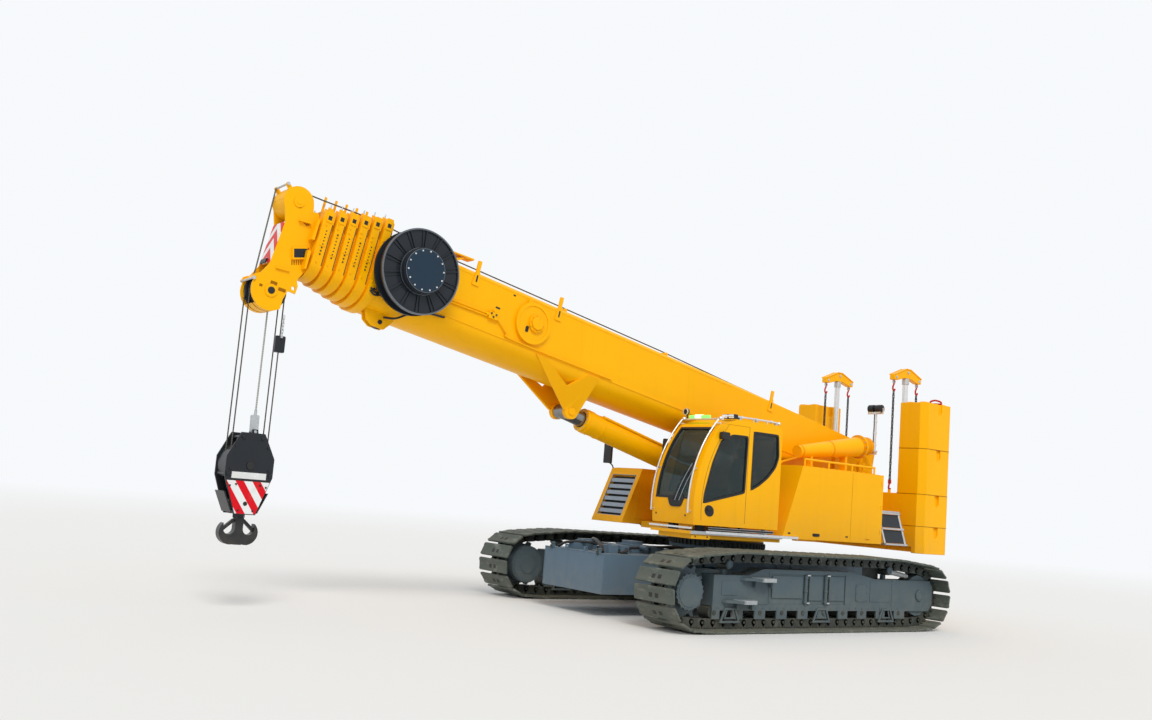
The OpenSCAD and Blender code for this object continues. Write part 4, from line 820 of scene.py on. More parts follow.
def car_body():
    """Weld beads, lashing rings, deck pipes and the plates at the beam sleeves."""
    front, deck = 2977.0, 914
    weld = [block((front - 12, front + 6), (y - 5, y + 5), (340, 908)) for y in (-724, 724)]
    weld += [block((front - 10, front + 6), (-730, 730), (905, 917))]
    ear = [(front - 60, 913), (front + 2, 913), (front + 2, 950), (front - 20, 985), (front - 60, 985)]
    plates = [hoop(oblong((x - 175, x + 175), (415, 830)), 44, *y)
              for x in (1150, -850, 850, -1150) for y in ((730, 748), (-748, -730))]
    rings = [washer((0, 0, 0), 742, 790, 1040, 1086, "z", 64), washer((0, 0, 0), 742, 800, deck, 940, "z", 64)]
    bolts = studs(circle((0, 0, 1086), 766, 48, "z"), "z", 13, -22)
    turns = [(math.cos(a), math.sin(a)) for a in around(8, 0.4)]
    ribs = repeated(slab([(742, 930), (900, 914), (742, 1050)], -9, 9),
                    [[[c, -s, 0, 0], [s, c, 0, 0], [0, 0, 1, 0]] for c, s in turns])
    make("car_body_trim", "undercarriage", ("blue", weld, both(slab(ear, 560, 584)), plates, rings, ribs),
         ("zinc", bolts), bevel=3)
    loop = [(0, 0), (26, 8), (44, -18), (40, -58), (14, -78), (-14, -62), (-16, -24)]
    shackles = [pipe(eased([(2990 + x * 0.4, y + x, 968 + z) for x, z in loop], 6), 10, 8) for y in (572, -572)]
    shackles += [disc((2950, y, 962), 13, -34, 34, "x", 14, 2) for y in (572, -572)]
    blocks = [block((2480, 2760), (-420, -180), (deck, 1010)), block((2520, 2700), (260, 480), (deck, 1030)),
              tile((2150, 2440), (-640, -480), 20, deck, 1060, "z"),
              tile((1300, 1560), (-300, 160), 20, deck, 1020, "z")]
    blocks += [disc((x, y, 0), 26, 1005, 1050, "z", 16, 4)
               for x, y in ((2540, -360), (2540, -240), (2700, -300), (2570, 330), (2650, 410))]
    big = [pipe(eased([(2880, 560, 925), (2840, 470, 1010), (2760, 260, 1075), (2640, 20, 1090), (2480, -120, 1060),
                       (2300, -60, 990), (2080, 0, 985)]), 27, 12),
           pipe(eased([(2860, -560, 925), (2800, -420, 1000), (2660, -120, 1030), (2500, 150, 1010), (2300, 330, 990),
                       (1990, 330, 1000)]), 21, 12)]
    make("deck_gear", "undercarriage", ("rail", shackles), ("blue", blocks), ("hose", big), bevel=3)
    valve = [block((1650, 2000), (-220, 180), (deck, 1040)), block((1720, 1930), (-150, 110), (1040, 1090)),
             disc((1820, 0, 1000), 38, 180, 330, "y", 20, 5), disc((2080, 0, 985), 46, -430, -60, "y", 20, 6),
             block((2250, 2420), (120, 420), (deck, 1030))]
    caps = [disc((2012, y, 985), 20, -8, 18, "x", 16) for y in (-180, -60, 60)]
    red_caps = [disc((2440, 250, 970), 40, 0, 46, "x", 20, 5),
                [disc((2012, y, 985), 20, -8, 22, "x", 16) for y in (-120, 0, 120)]]
    rotary = [disc((0, 0, 0), 240, deck, 1180, "z", 40, 8), disc((0, 0, 0), 160, 1180, 1260, "z", 32, 8),
              studs(circle((0, 0, 1180), 205, 12, "z"), "z", 12, 10)]
    make("deck_valves", "undercarriage", ("blue", valve), ("signal_blue", caps), ("red", red_caps),
         ("black", rotary), bevel=4)
    lines = []
    for k, (y0, y1) in enumerate(((-180, -560), (-120, -500), (-60, 330), (0, 420), (60, 560), (120, 610))):
        back = [(1650, y0, 970), (1480, y0 * 1.1, 1010), (1250, y1 * 0.7, 990 + 12 * k), (1050, y1, 945),
                (880, y1 * 1.1, 935)]
        ahead = [(2000, y0, 985), (2140, y0 * 1.2, 1010), (2330, y1 * 0.8, 980), (2480, y1, 945),
                 (2600, y1 * 1.05, 932)]
        lines += [pipe(eased(back), 15, 8), pipe(eased(ahead), 13, 8)]
    make("deck_hoses", "undercarriage", ("hose", lines))


def turntable():
    """Web stiffeners, pivot caps, cylinder pin plates, pipes on the floor and the slew drives."""
    trim = [block((x, x + 22), (505, 560), (1394, top))
            for x, top in ((300, 1820), (-350, 2180), (-1000, 2520), (-1650, 2680), (-2250, 2820))]
    trim += [disc(BOOM_PIVOT, 178, 534, 552, "y", 48, 5), disc(BOOM_PIVOT, 96, 534, 575, "y", 40, 6),
             studs(circle(BOOM_PIVOT + [0, 552, 0], 138, 12), "y", 12, 12),
             tile((-3180, -2984), (2530, 2590), 12, 552, 566, steps=2), disc(RAM_PIN, 84, 182, 206, "y", 32, 4),
             studs(circle(RAM_PIN + [0, 206, 0], 56, 6), "y", 9, 8),
             slab([(500, 1748), (900, 1394), (910, 1404), (500, 1776), (-900, 2576), (-2660, 3025), (-2660, 3013),
                   (-900, 2562)], 440, 560)]
    make("turntable_trim", "superstructure", ("yellow", both(trim)), bevel=3)
    stages = ((120, 1395, 1560, 32), (92, 1560, 1720, 32), (60, 1720, 1800, 24))
    drives = [disc((560, y, 0), r, z0, z1, "z", n, 8) for y in (430, -430) for r, z0, z1, n in stages]
    drives += [studs(circle((560, y, 1560), 106, 10, "z"), "z", 9, 8) for y in (430, -430)]
    make("slew_drives", "superstructure", ("black", drives))
    tanks = [tile((-1500, -700), (1402, 1760), 60, -430, -250), tile((-1500, -900), (1402, 1700), 60, 250, 430)]
    make("floor_tanks", "superstructure", ("black", tanks), bevel=6)
    lines = [pipe(eased([(460, 300 - 40 * k, 1500), (250, 320 - 30 * k, 1440), (-300, 330 - 22 * k, 1412),
                         (-900, 240 - 14 * k, 1412), (-1500, 235, 1412 + 26 * k), (-2000, 240, 1450 + 30 * k),
                         (-2300, 280, 1700 + 60 * k), (-2480, 360, 1950 + 60 * k)]), 13, 8) for k in range(3)]
    make("floor_hoses", "superstructure", ("hose", both(lines)))


# ---- house


def on_intake(points):
    """Drawing along the intake tube, from its wide end forwards, to the row frame."""
    return tipped(points, np.array([-2560.0, 800.0, 2975.0]), math.atan2(-225.0, 1610.0))


def on_cowl(points):
    """Cowl face drawing (out, y, up the face) to the row frame."""
    return tipped(points, np.array([1500.0, 0.0, 1340.0]), math.atan2(370.0, 890.0))


def on_ladder(outline, front, back):
    """A panel between the ladder's rails, in their plane: y = 1480 - (z - 1310) 150 / 570."""
    return loft([[(x, 1480 - (z - 1310) * 150 / 570 + d, z) for x, z in outline] for d in (front, back)])


def house():
    """Doors, latches, vents, roof plates and edges on the side covers and the cowl."""
    axis = (0, 0, 0)
    filters = [disc(axis, 158, -250, 1, "x", 40, 22),
               [washer(axis, 150, 164, x - 7, x + 7, "x", 40) for x in (-70, -150)]]
    bands = [washer(axis, r - 4, r + 7, x - 14, x + 14, "x", 48)
             for x, r in ((60, 172.4), (820, 139.5), (1560, 107.4))]
    flange = [studs(circle((x, 0, 0), 193, 14, "x"), "x", 11, high) for x, high in ((0, -13), (30, 12))]
    make("intake_trim", "superstructure", ("orange", filters, bands), ("zinc", flange), place=on_intake, bevel=2)
    y = HOUSE_HALF
    top = [tile((-2340, -430), (680, 1460), 30, 2474, 2481, "z"),
           [disc((-2330, y + 4, z), 9, 0, 60, "z", 12) for z in (1500, 1900, 2300)]]
    top += [block((x, x + 40), (980, 1400), (2480, 2492)) for x in np.arange(-2250, -480, 130)]
    dark = [block((-1566, -1558), (y - 7.5, y - 6), (1340, 2455)), tile((-795, -625), (1377, 1425), 20, y - 1, y + 5)]
    dark += [tile((x, x + 60), (1392, 1416), 10, y - 1, y + 4) for x in (-100, -1500)]
    lips = [block((-780, -640), (y + 3, y + 9), (z, z + 7)) for z in (1389, 1405)]
    make("left_cover_trim", "superstructure", ("yellow", top), ("dark", dark), ("black", lips), bevel=2)
    foot = -2396.0
    panels = [on_ladder([(foot - 600 - 60 * t0, z0), (foot - 95 - 60 * t0, z0), (foot - 95 - 60 * t1, z1),
                         (foot - 600 - 60 * t1, z1)], -6, 2)
              for z0, z1, t0, t1 in ((1350, 1570, 0.93, 0.54), (1610, 1830, 0.47, 0.09))]
    make("ladder_panels", "superstructure", ("reel", panels), bevel=2)
    y = -HOUSE_HALF
    dark = [tile((x, x + 560), (z, z + 26), 12, y - 9, y + 1, steps=2) for x in (-2180, -1250, -420)
            for z in np.arange(1700, 2260, 62)]
    dark += [block((x - 5, x + 5), (y - 3, y + 1), (1350, high))
             for x, high in ((-1560, 2400), (-560, 2400), (300, 2200))]
    black = [tile((x, x + 150), (1520, 1560), 16, y - 14, y + 1) for x in (-1780, -780, 60)]
    black += [block((x, x + 26), (-1380, -820), (2480, 2495)) for x in np.arange(-1500, -420, 70)]
    roof = [tile((-2200, -300), (-1460, -720), 30, 2474, 2481, "z"),
            tile((230, 1080), (-1460, -740), 30, 2249, 2256, "z")]
    pipe_at = (-1850, -1000, 0)
    exhaust = [disc(pipe_at, 85, 2480, 2620, "z", 32, 10), disc(pipe_at, 50, 2620, 2760, "z", 24, 4),
               washer(pipe_at, 42, 50, 2755, 2790, "z", 24)]
    make("right_cover_trim", "superstructure", ("yellow", roof), ("dark", dark), ("black", black),
         ("zinc", exhaust), bevel=2)
    slats = [slab([(-46, z + 8), (-4, z - 12), (4, z + 54), (-8, z + 62)], -1395, -805)
             for z in np.arange(176, 800, 112)]
    slats += [hoop(oblong((-1425, -775), (100, 880)), 24, -6, 7, "x")]
    behind = block((-66, -58), (-1405, -795), (125, 855))
    grille = make("cowl_louvres", "superstructure", ("slat", slats), ("dark", behind), place=on_cowl, bevel=1.5)
    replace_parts(grille, "cowl_grille")
    mirror = [tile((1185, 1225), (2320, 2665), 16, -1650, -1450),
              pipe(eased([(1120, -1470, 2225), (1150, -1500, 2300), (1200, -1540, 2340)]), 12, 8)]
    make("corner_mirror", "superstructure", ("rubber", mirror), bevel=5)
    door = slab(rounded([(800, 1420), (1260, 1420), (1130, 2150), (800, 2150)], 30), -700, -694)
    make("cowl_side_door", "superstructure", ("yellow", door), bevel=3)


def platform():
    """Checker plate on the platform's rim, its edge channels and the beam under its front."""
    x, y = [v.ravel() for v in np.meshgrid(np.arange(130, 2030, 52), np.arange(660, 1500, 52), indexing="ij")]
    rim = (x <= 230) | (x >= 1990) | (y >= 1420)
    x, y = x[rim], y[rim]
    turn = np.radians(np.where((x / 52 + y / 52).round().astype(int) % 2, 45.0, -45.0))
    c, s, o = np.cos(turn), np.sin(turn), 0 * turn
    frames = np.stack([c, -s, o, x, s, c, o, y, o, o, o + 1, o + 1344], -1).reshape(-1, 3, 4)
    tread = repeated(slab([(-14, 0), (0, 4.5), (14, 0), (0, -4.5)], 0, 4, "z"), frames)
    edges = [block((2046, 2060), (613, 1530), (1372, 1400)), block((-267, 1753), (1516, 1528), (1315, 1355))]
    beams = [block((1640, 2010), (780, 1500), (1232, 1302)), block((100, 1640), (1380, 1470), (1246, 1302))]
    dark = [studs([(x, 1500, 1268) for x in (1700, 1940)], "y", 12, 10),
            block((300, 1700), (1502, 1514), (1372, 1412))]
    lips = [block((300, 1700), (1513, 1518), (z, z + 7)) for z in (1372, 1405)]
    make("platform_edges", "superstructure", ("tube", edges), ("zinc", tread, lips), ("yellow", beams),
         ("dark", dark), bevel=2)


# ---- cab


def front_line(z, drawn_in=0.0):
    """X of the cab's curved front at a height: a circle of 1843 about (168, 1720), drawn in."""
    r = 1843.0 - drawn_in
    return 2011.0 - 1843.0 + np.sqrt(r * r - (z - 1720.0) ** 2)


def front_strip(z, corners):
    """A bar up the cab's curved front: at every height it has corners (drawn in, further back, y)."""
    return loft(np.stack([np.stack([front_line(z, d) - back, 0 * z + y, z], -1) for d, back, y in corners], 1))


DOOR_WINDOW = [(1540, 2700), (1296, 2815), (955, 2820), (965, 1954), (1830, 1750), (1820, 1890), (1690, 2366)]
REAR_QUARTER = [(850, 2905), (285, 2905), (250, 2560), (312, 2392), (474, 2218), (666, 2085), (850, 1998)]
RIGHT_WINDOW = [(1500, 2850), (320, 2905), (320, 2000), (1750, 1900)]


def cab():
    """Window rubber, guard tubes, lamps, wiper, handles and mirrors of the cab."""
    sides = ((DOOR_WINDOW, (1462, 1503)), (REAR_QUARTER, (1462, 1503)), (RIGHT_WINDOW, (597, 640)))
    rubber = [hoop(inset(rounded(outline, 60, 5), -3), 30, *face) for outline, face in sides]
    rubber += [hoop(inset(rounded(oblong((690, 1380), (2150, 2850)), 60), -2), 26, 197, 246, "x"),
               hoop(inset(rounded(oblong((600, 1150), (750, 1350)), 60), -2), 28, 3000, 3054, "z")]
    z = np.linspace(1808, 2892, 24)
    rubber += [front_strip(z, [(-4, 0, y0), (-4, 0, y1), (26, 0, y1), (26, 0, y0)])
               for y0, y1 in ((668, 704), (1356, 1392))]
    for z0, z1 in ((1800, 1832), (2868, 2900)):
        x0, x1 = front_line(np.array([z0, z1], float), -4)
        rubber.append(slab([(x0, z0), (x1, z1), (x1 - 30, z1), (x0 - 30, z0)], 668, 1392))
    make("cab_window_rubber", "cab", ("rubber", rubber), angle=40)
    # seams of the door and the nose panel, the sunk handle and two caps on the nose
    corners = [(3, 155, 1499), (3, 149, 1499), (3, 149, 1501.5), (3, 155, 1501.5)]
    seams = [front_strip(np.linspace(1500, 2950, 20), corners), block((934, 940), (1498, 1501.5), (1494, 2960))]
    a = around(28)
    dish = np.stack([1692 + 92 * np.cos(a) + 14 * np.sin(a), 1651 + 82 * np.sin(a)], -1)
    fittings = [slab(dish, 1499, 1508), tile((1640, 1745), (1655, 1690), 12, 1507, 1524)]
    nose = front_line(1560.0)
    fittings += [disc((0, y, 1560), 13, nose - 4, nose + 6, "x", 14) for y in (690, 1330)]
    make("cab_seams", "cab", ("dark", seams), ("rubber", fittings), bevel=2)
    # guard tubes stand off the windscreen posts
    z = np.linspace(1600, 3020, 22)
    tubes = []
    for y in (640, 1440):
        tubes.append(pipe(np.stack([front_line(z, -62) - 6, 0 * z + y, z], -1), 13, 12))
        tubes += [pipe([(front_line(high, 20), y, high), (front_line(high, -66), y, high)], 13, 10)
                  for high in (1625.0, 2250.0, 2960.0)]
    roof_tube = [(1515, 1440, 3028), (1400, 1455, 3086), (1150, 1460, 3095), (500, 1460, 3095), (260, 1460, 3085)]
    tubes += [pipe([(1510, 640, 3030), (1510, 1440, 3030)], 15, 12), pipe(eased(roof_tube), 15, 12)]
    knob = [(8, -26), (24, -16), (30, 0), (24, 16), (8, 26)]
    tubes += [turned(knob, p, "z", 16) for p in ((260, 1460, 3085), (1515, 1440, 3040), (1515, 640, 3040))]
    feet = [block((x - 22, x + 22), (1440, 1478), (3049, 3086)) for x in (330, 760, 1130)]
    make("cab_guard_tubes", "cab", ("tube", tubes), ("zinc", feet))
    # lamps on the roof's front edge
    feet = [block((1425, 1470), (y, y + 30), (3040, 3050)) for y in (850, 1080)]
    make("cab_beacon", "cab", ("beacon", tile((1418, 1488), (3030, 3096), 20, 720, 1130)),
         ("beacon_end", tile((1412, 1494), (3036, 3104), 24, 850, 985)), ("black", feet), bevel=3)
    ball = turned([(4, -40), (34, -34), (52, -14), (55, 10), (50, 22), (38, 28), (4, 30)], (1470, 640, 3150), "x", 28)
    lamps = [slab(rounded([(1180, 3060), (1270, 3060), (1280, 3128), (1190, 3128)], 16), y, y + 110)
             for y in (1230, 1370)]
    stem = [pipe([(1452, 640, 3040), (1452, 640, 3104)], 12, 10), tile((1425, 1480), (3030, 3056), 6, 612, 668)]
    faces = [slab(rounded([(1271, 3066), (1286, 3066), (1290, 3120), (1276, 3120)], 4, 2), y + 8, y + 102)
             for y in (1230, 1370)]
    bright = [washer((1470, 640, 3150), 40, 57, 18, 32, "x", 28)]
    bright += [washer((0, 1460, 3092), 14, 25, x, x + 26, "x", 16) for x in (420, 760, 1080)]
    bright += [block((1486, 1528), y, (3016, 3052)) for y in ((1424, 1478), (612, 660))]
    make("cab_work_lamps", "cab", ("black", ball, lamps, stem), ("lamp", faces), ("tube", bright), bevel=2)
    # wiper and mirrors
    root = front_line(1740.0)
    base = slab(rounded([(930, 1838), (1300, 1838), (1236, 1676), (1000, 1676)], 56), root - 12, root + 14, "x")
    arms = []
    for k, top in enumerate((2240, 2330, 2330, 2280)):
        z = np.linspace(1770, top, 12)
        arms.append(pipe(np.stack([front_line(z, -18), 1060 + 46 * k + 0.40 * (z - 1770), z], -1), 6, 8))
    make("wiper", "cab", ("rubber", base, arms[0], arms[2]), ("slat", arms[1], arms[3]))
    mirrors = [tile((1430, 1590), (2720, 2830), 34, 1512, 1580),
               pipe([(1500, 1495, 2835), (1510, 1545, 2815)], 12, 8),
               tile((500, 585), (2380, 2700), 26, 1760, 1800, "x"),
               pipe(eased([(1690, 602, 2700), (1720, 575, 2720), (1762, 560, 2640)]), 11, 8)]
    make("cab_mirrors", "cab", ("rubber", mirrors), bevel=6)


def cushion(size, crown, seams):
    """A crowned cushion about the origin: a box whose corners follow |x/a|^p + |y/b|^p + |z/c|^p = 1 with p 4.5,
    drawn in along its seams. size is in millimetres."""
    u = np.linspace(-math.pi / 2, math.pi / 2, 25)[1:-1]
    v = around(48)
    u, v = np.meshgrid(u, v, indexing="ij")
    d = np.stack([np.cos(u) * np.cos(v), np.cos(u) * np.sin(v), np.sin(u)], -1)
    d = d / (np.abs(d) ** 4.5).sum(-1, keepdims=True) ** (1 / 4.5)
    rise = crown * (1 - d[..., 0] ** 2) * (1 - d[..., 1] ** 2) * np.clip(d[..., 2], 0, 1)
    p = d * (np.asarray(size, float) / 2)
    groove = sum(np.exp(-((p[..., 0] - s) / 7.0) ** 2) for s in seams) if seams else 0 * u
    p[..., 2] += rise - 7.0 * groove * np.clip(d[..., 2], 0, 1)
    return loft(p)


def cab_inside():
    """Operator's seat with two cushions, armrests, levers, console and screen."""
    c, s = math.cos(math.radians(98)), math.sin(math.radians(98))
    level, leaning = np.eye(3), np.array([[c, 0, -s], [0, 1, 0], [s, 0, c]])
    for name, size, crown, seams, turn, middle, fill in (
            ("cab_seat_cushion", (500, 450, 130), 16, (-110, 110), level, [950, 1125, 1790], 0.75),
            ("cab_seat_back", (620, 430, 130), 18, (-130, 60), leaning, [690, 1125, 2185], 0.75),
            ("cab_head_rest", (200, 260, 90), 8, (), leaning, [640, 1125, 2600], 0.8)):
        points, faces = cushion(size, crown, seams)
        make(name, "cab", ("fabric", (points @ turn.T + middle, faces)), angle=60)
    parts = [tile((720, 1180), (1680, 1722), 14, 930, 1320), disc((950, 1125, 0), 70, 1480, 1680, "z", 24),
             disc((950, 1125, 0), 150, 1479, 1496, "z", 32, 4), pipe([(625, 1125, 2460), (640, 1125, 2560)], 14, 8)]
    parts += [slab(rounded([(800, 1905), (1180, 1925), (1190, 1975), (800, 1965)], 20), y, y + 80)
              for y in (830, 1340)]
    for y in (870, 1380):
        parts.append(disc((1150, y, 0), 12, 1970, 2080, "z", 12))
        parts.append(turned([(6, 0), (26, 14), (30, 50), (18, 84), (6, 92)], (1150, y, 2070), "z", 18))
    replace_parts(make("cab_seat_frame", "cab", ("rubber", parts), bevel=3), "cab_seat")
    console = [slab(rounded([(1560, 1480), (1720, 1480), (1700, 1860), (1620, 1880)], 30), 1010, 1240),
               tile((1000, 1250), (1880, 2080), 20, 1610, 1650, "x"),
               slab(rounded([(760, 1480), (1180, 1480), (1150, 1900), (800, 1900)], 30), 700, 800),
               [slab([(1600, 1500), (1700, 1540), (1690, 1556), (1590, 1516)], y, y + 90) for y in (860, 1290)],
               tile((260, 1900), (660, 1440), 0, 1480, 1486, "z"), tile((660, 1440), (1486, 2140), 0, 246, 252, "x")]
    screen = tile((1020, 1230), (1900, 2060), 0, 1606, 1611, "x")
    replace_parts(make("cab_console_set", "cab", ("rubber", console), ("glass", screen), bevel=4), "cab_console")


# ---- boom


def boom():
    """Seams, guide posts, boss rings, pipe run, pads and the reel's fittings."""
    guides, posts = (9000, 6900, 4800), (8660, 7190, 2540)
    trim = [both([block(s, (419, 431), (-262, -236)) for s in ((350, 6180), (7480, 9250))]),
            both(block((3500, 10050), (419, 424), (430, 442))),
            both(tile((s - 28, s + 28), (440, 660), 12, 396, 424) for s in posts),
            both(slab(rounded([(s - 62, 300), (s + 62, 300), (s + 26, 520), (s - 26, 520)], 16), 419, 436)
                 for s in posts),
            [block((s - 22, s + 22), (y, y + 16), (494, 570)) for s in guides for y in (-150, 134)],
            [disc((s, 0, 590), 30, -152, 152, "y", 20, 5) for s in guides],
            slab([(9060, 496), (9420, 496), (9470, 600), (9450, 610), (9390, 540), (9110, 540), (8930, 610),
                  (8915, 600)], 250, 400),
            slab([(8760, 632), (9480, 600), (9484, 618), (8764, 654)], 232, 415)]
    slots = both(tile((s - 13, s + 13), (350, 450), 10, 435, 438) for s in posts)
    make("boom_trim", "boom", ("yellow", trim), ("dark", slots), place=on_boom, bevel=3)
    boss = both(washer((7600, 0, 110), 250, 302, 458, 472, "y", 56), disc((7560, 0, 120), 96, 493, 520, "y", 40, 6),
                studs(circle((7560, 495, 120), 112, 10), "y", 11, 12), tile((7700, 7760), (330, 420), 12, 420, 470))
    dark = both(tile((7662, 7716), (-48, 44), 24, 459, 464), tile((8176, 8250), (119, 143), 8, 419, 425),
                tile((7975, 8015), (388, 408), 8, 419, 426))
    valve = both(block((8210, 8350), (419, 470), (-60, 40)), disc((8280, 0, 62), 18, 419, 480, "y", 14),
                 disc((8370, 0, -10), 22, 419, 466, "y", 14), pipe([(8340, 445, -5), (9400, 445, -29)], 12, 8),
                 pipe([(8340, 440, -39), (9400, 440, -63)], 12, 8),
                 pipe(eased([(8220, 445, -20), (8100, 448, -90), (7980, 446, -180), (7820, 444, -228),
                             (6000, 444, -228)]), 12, 8))
    plugs = both(disc((s, 0, h), 13, 469, 486, "y", 12) for s, h in ((8240, 10), (8280, -30), (8320, 12)))
    make("boom_boss_trim", "boom", ("yellow", boss), ("dark", dark), ("yellow", valve), ("rail", plugs),
         place=on_boom, bevel=2)
    for k in range(6):
        half, top, front = 448 - 26 * k, 670 - 36 * k, 10180 + 150 * k
        low = 20 if k % 2 else -60
        dark = both([block((front - 60, front - 42), (half - 1, half + 9.5), (h, h + 17))
                     for h in np.arange(-100, 260, 45)],
                    block((front - 116, front - 106), (half - 1, half + 3), (-280 + 10 * k, top - 160)),
                    block((front - 78, front - 26), (half + 9, half + 11.5), (top - 118, top - 62)))
        lug = [(front - 84, top - 1), (front - 18, top - 1), (front - 18, top + 58), (front - 84, top + 50)]
        bright = both(tile((front - 96, front - 8), (top - 150, top + 8), 14, half - 60, half + 10),
                      tile((front - 90, front - 12), (low, low + 240), 12, half - 1, half + 8),
                      [slab(lug, y - 12, y + 12) for y in (150, 260)],
                      studs([(front - 30, half - 1, h) for h in (-200, 300, 360)], "y", 12, 14))
        spike = both(disc((front - 45, 260, 0), 9, top + 40, top + 110, "z", 10))
        make("collar_%d_trim" % k, "section_%d" % k if k else "boom", ("yellow", bright), ("dark", dark),
             ("zinc", spike), place=on_boom, bevel=2)
    cheek = [(9560, -420), (10080, -420), (10000, -640), (9900, -700), (9720, -700), (9640, -600)]
    bracket = [slab(cheek, 104, 128), slab(cheek, 210, 234), block((9640, 10000), (128, 210), (-560, -538))]
    drum = [disc((9800, 0, -620), 90, 130, 206, "y", 32, 6), disc((9800, 0, -620), 30, 98, 250, "y", 20)]
    hose = [pipe(eased([(9800, 300, -560), (9640, 330, -520), (9500, 380, -420), (9300, 430, -330),
                        (9000, 444, -290)]), 15, 8)]
    hose += [pipe(eased([(10150, 452, -285 - d), (10080, 474, -330 - d), (9980, 462, -300 - d), (9860, 474, -345 - d),
                         (9700, 456, -330 - d)]), 13, 8) for d in (0, 36)]
    hose += [disc((s, 0, h), 22, 448, 482, "y", 12)
             for s, h in ((10110, -300), (10040, -345), (9950, -318), (9860, -352))]
    make("boom_nose_bracket", "boom", ("yellow", bracket), ("black", drum), ("hose", hose), place=on_boom, bevel=3)
    at = (REEL_S, 0, REEL_H)
    ribs = spokes((REEL_S, REEL_H), oblong((312, 545), (-9, 9)), around(14, 0.1), 782, 800)
    hub = disc(at, 282, 906, 913, "y", 60, 4)
    # the rings in the lighter rim grey are a painted highlight along the reel's rim and its hub's edges
    rim = [washer(at, 548, 567, 782, 803, "y", 72), washer(at, 300, 311, 800, 812, "y", 60),
           washer(at, 280, 287, 904, 910, "y", 60)]
    bolts = studs(circle((REEL_S, 912, REEL_H), 258, 14, "y", 0.2), "y", 12, 14)
    make("reel_trim", "boom", ("reel", ribs), ("hub", hub), ("rim", rim), ("tube", bolts), place=on_boom, bevel=2)
    stay = [block((REEL_S - 100, REEL_S + 100), (421, 552), (-80, 200)),
            studs([(REEL_S + s, 421, h) for s in (-60, 60) for h in (-40, 160)], "y", 12, -2)]
    make("reel_bracket", "boom", ("yellow", stay), place=on_boom, bevel=6)


def head():
    """Hazard board, lamps, pin locks, rope keepers and plates of the boom head."""
    shield = slab(band(UP_SHEAVE, (203, 190), (-98, -9), 19), -164, 164)
    make("sheave_shield", "section_5", ("yellow", shield), place=on_boom)
    board = slab([(11406, -384), (11412, -384), (11384, 171), (11378, 171)], -178, 178)
    lamp = slab(rounded([(11411, -380), (11434, -380), (11430, -322), (11409, -322)], 5), -120, 60)
    make("head_board", "section_5", ("chevron", board), ("black", lamp), place=on_boom)
    corner = [(11183, -124), (11021, -61), (10988, -169), (11150, -233)]
    plates = both(hoop(inset(corner, -20), 20, 189, 226),
                  slab([(11060, 260), (11220, 240), (11220, 264), (11060, 284)], 190, 236),
                  block((11000, 11016), (190, 226), (-20, -300)),
                  slab([(11150, -420), (11330, -440), (11330, -420), (11150, -400)], 190, 216),
                  slab([(10985, 340), (11010, 340), (11030, 60), (10985, 60)], 189, 300),
                  slab([(10985, -330), (11010, -330), (11030, -90), (10985, -90)], 189, 300))
    tabs = both(slab([(11400, 610), (11440, 560), (11510, 628), (11500, 664), (11466, 668)], 176, 189.5),
                slab([(11500, -560), (11560, -600), (11574, -650), (11550, -672), (11500, -650)], 176, 189.5))
    spacers = [disc((s, 0, h), 30, -166, 166, "y", 16) for s, h in ((11080, 150), (11090, -250), (11210, -430))]
    pits = [tile(s, h, 8, 189, 192) for s, h in (((11232, 11308), (412, 470)), ((11246, 11336), (-645, -601)),
                                                 ((11420, 11462), (-722, -688)), ((11118, 11218), (-692, -648)))]
    pits += [slab([(11090, 236), (11160, 268), (11166, 254), (11096, 222)], 189, 198),
             disc((11086, 0, 250), 17, 189, 204, "y", 16)]
    for k, s in enumerate(range(11150, 10990, -28)):
        h = k * 10.9 - 262
        pits.append(slab([(s, h), (s + 12, h - 4), (s - 6, h - 64), (s - 18, h - 60)], 189, 193))
    bars = ((11483, 644), (11552, -650))
    keepers = [disc((s, 0, h), 14, -205, 205, "y", 12) for s, h in bars]
    keepers += [disc((s, 0, h), 22, y, y + 14, "y", 12) for s, h in bars for y in (-214, 200)]
    make("head_fittings", "section_5", ("yellow", plates, tabs, spacers), ("recess", both(pits)),
         ("reel", both(slab(rounded(corner, 8), 190, 222))), ("zinc", keepers), place=on_boom, bevel=2)
    webs = [spokes(centre, [(r0, -10), (r1, -8), (r1, 8), (r0, 10)], around(6), y - 30, y + 30)
            for centre, r0, r1, out in ((LOW_SHEAVE, 70, 190, 85), (UP_SHEAVE, 55, 140, 55)) for y in (-out, out)]
    make("sheave_webs", "section_5", ("sheave", webs), place=on_boom, bevel=2)


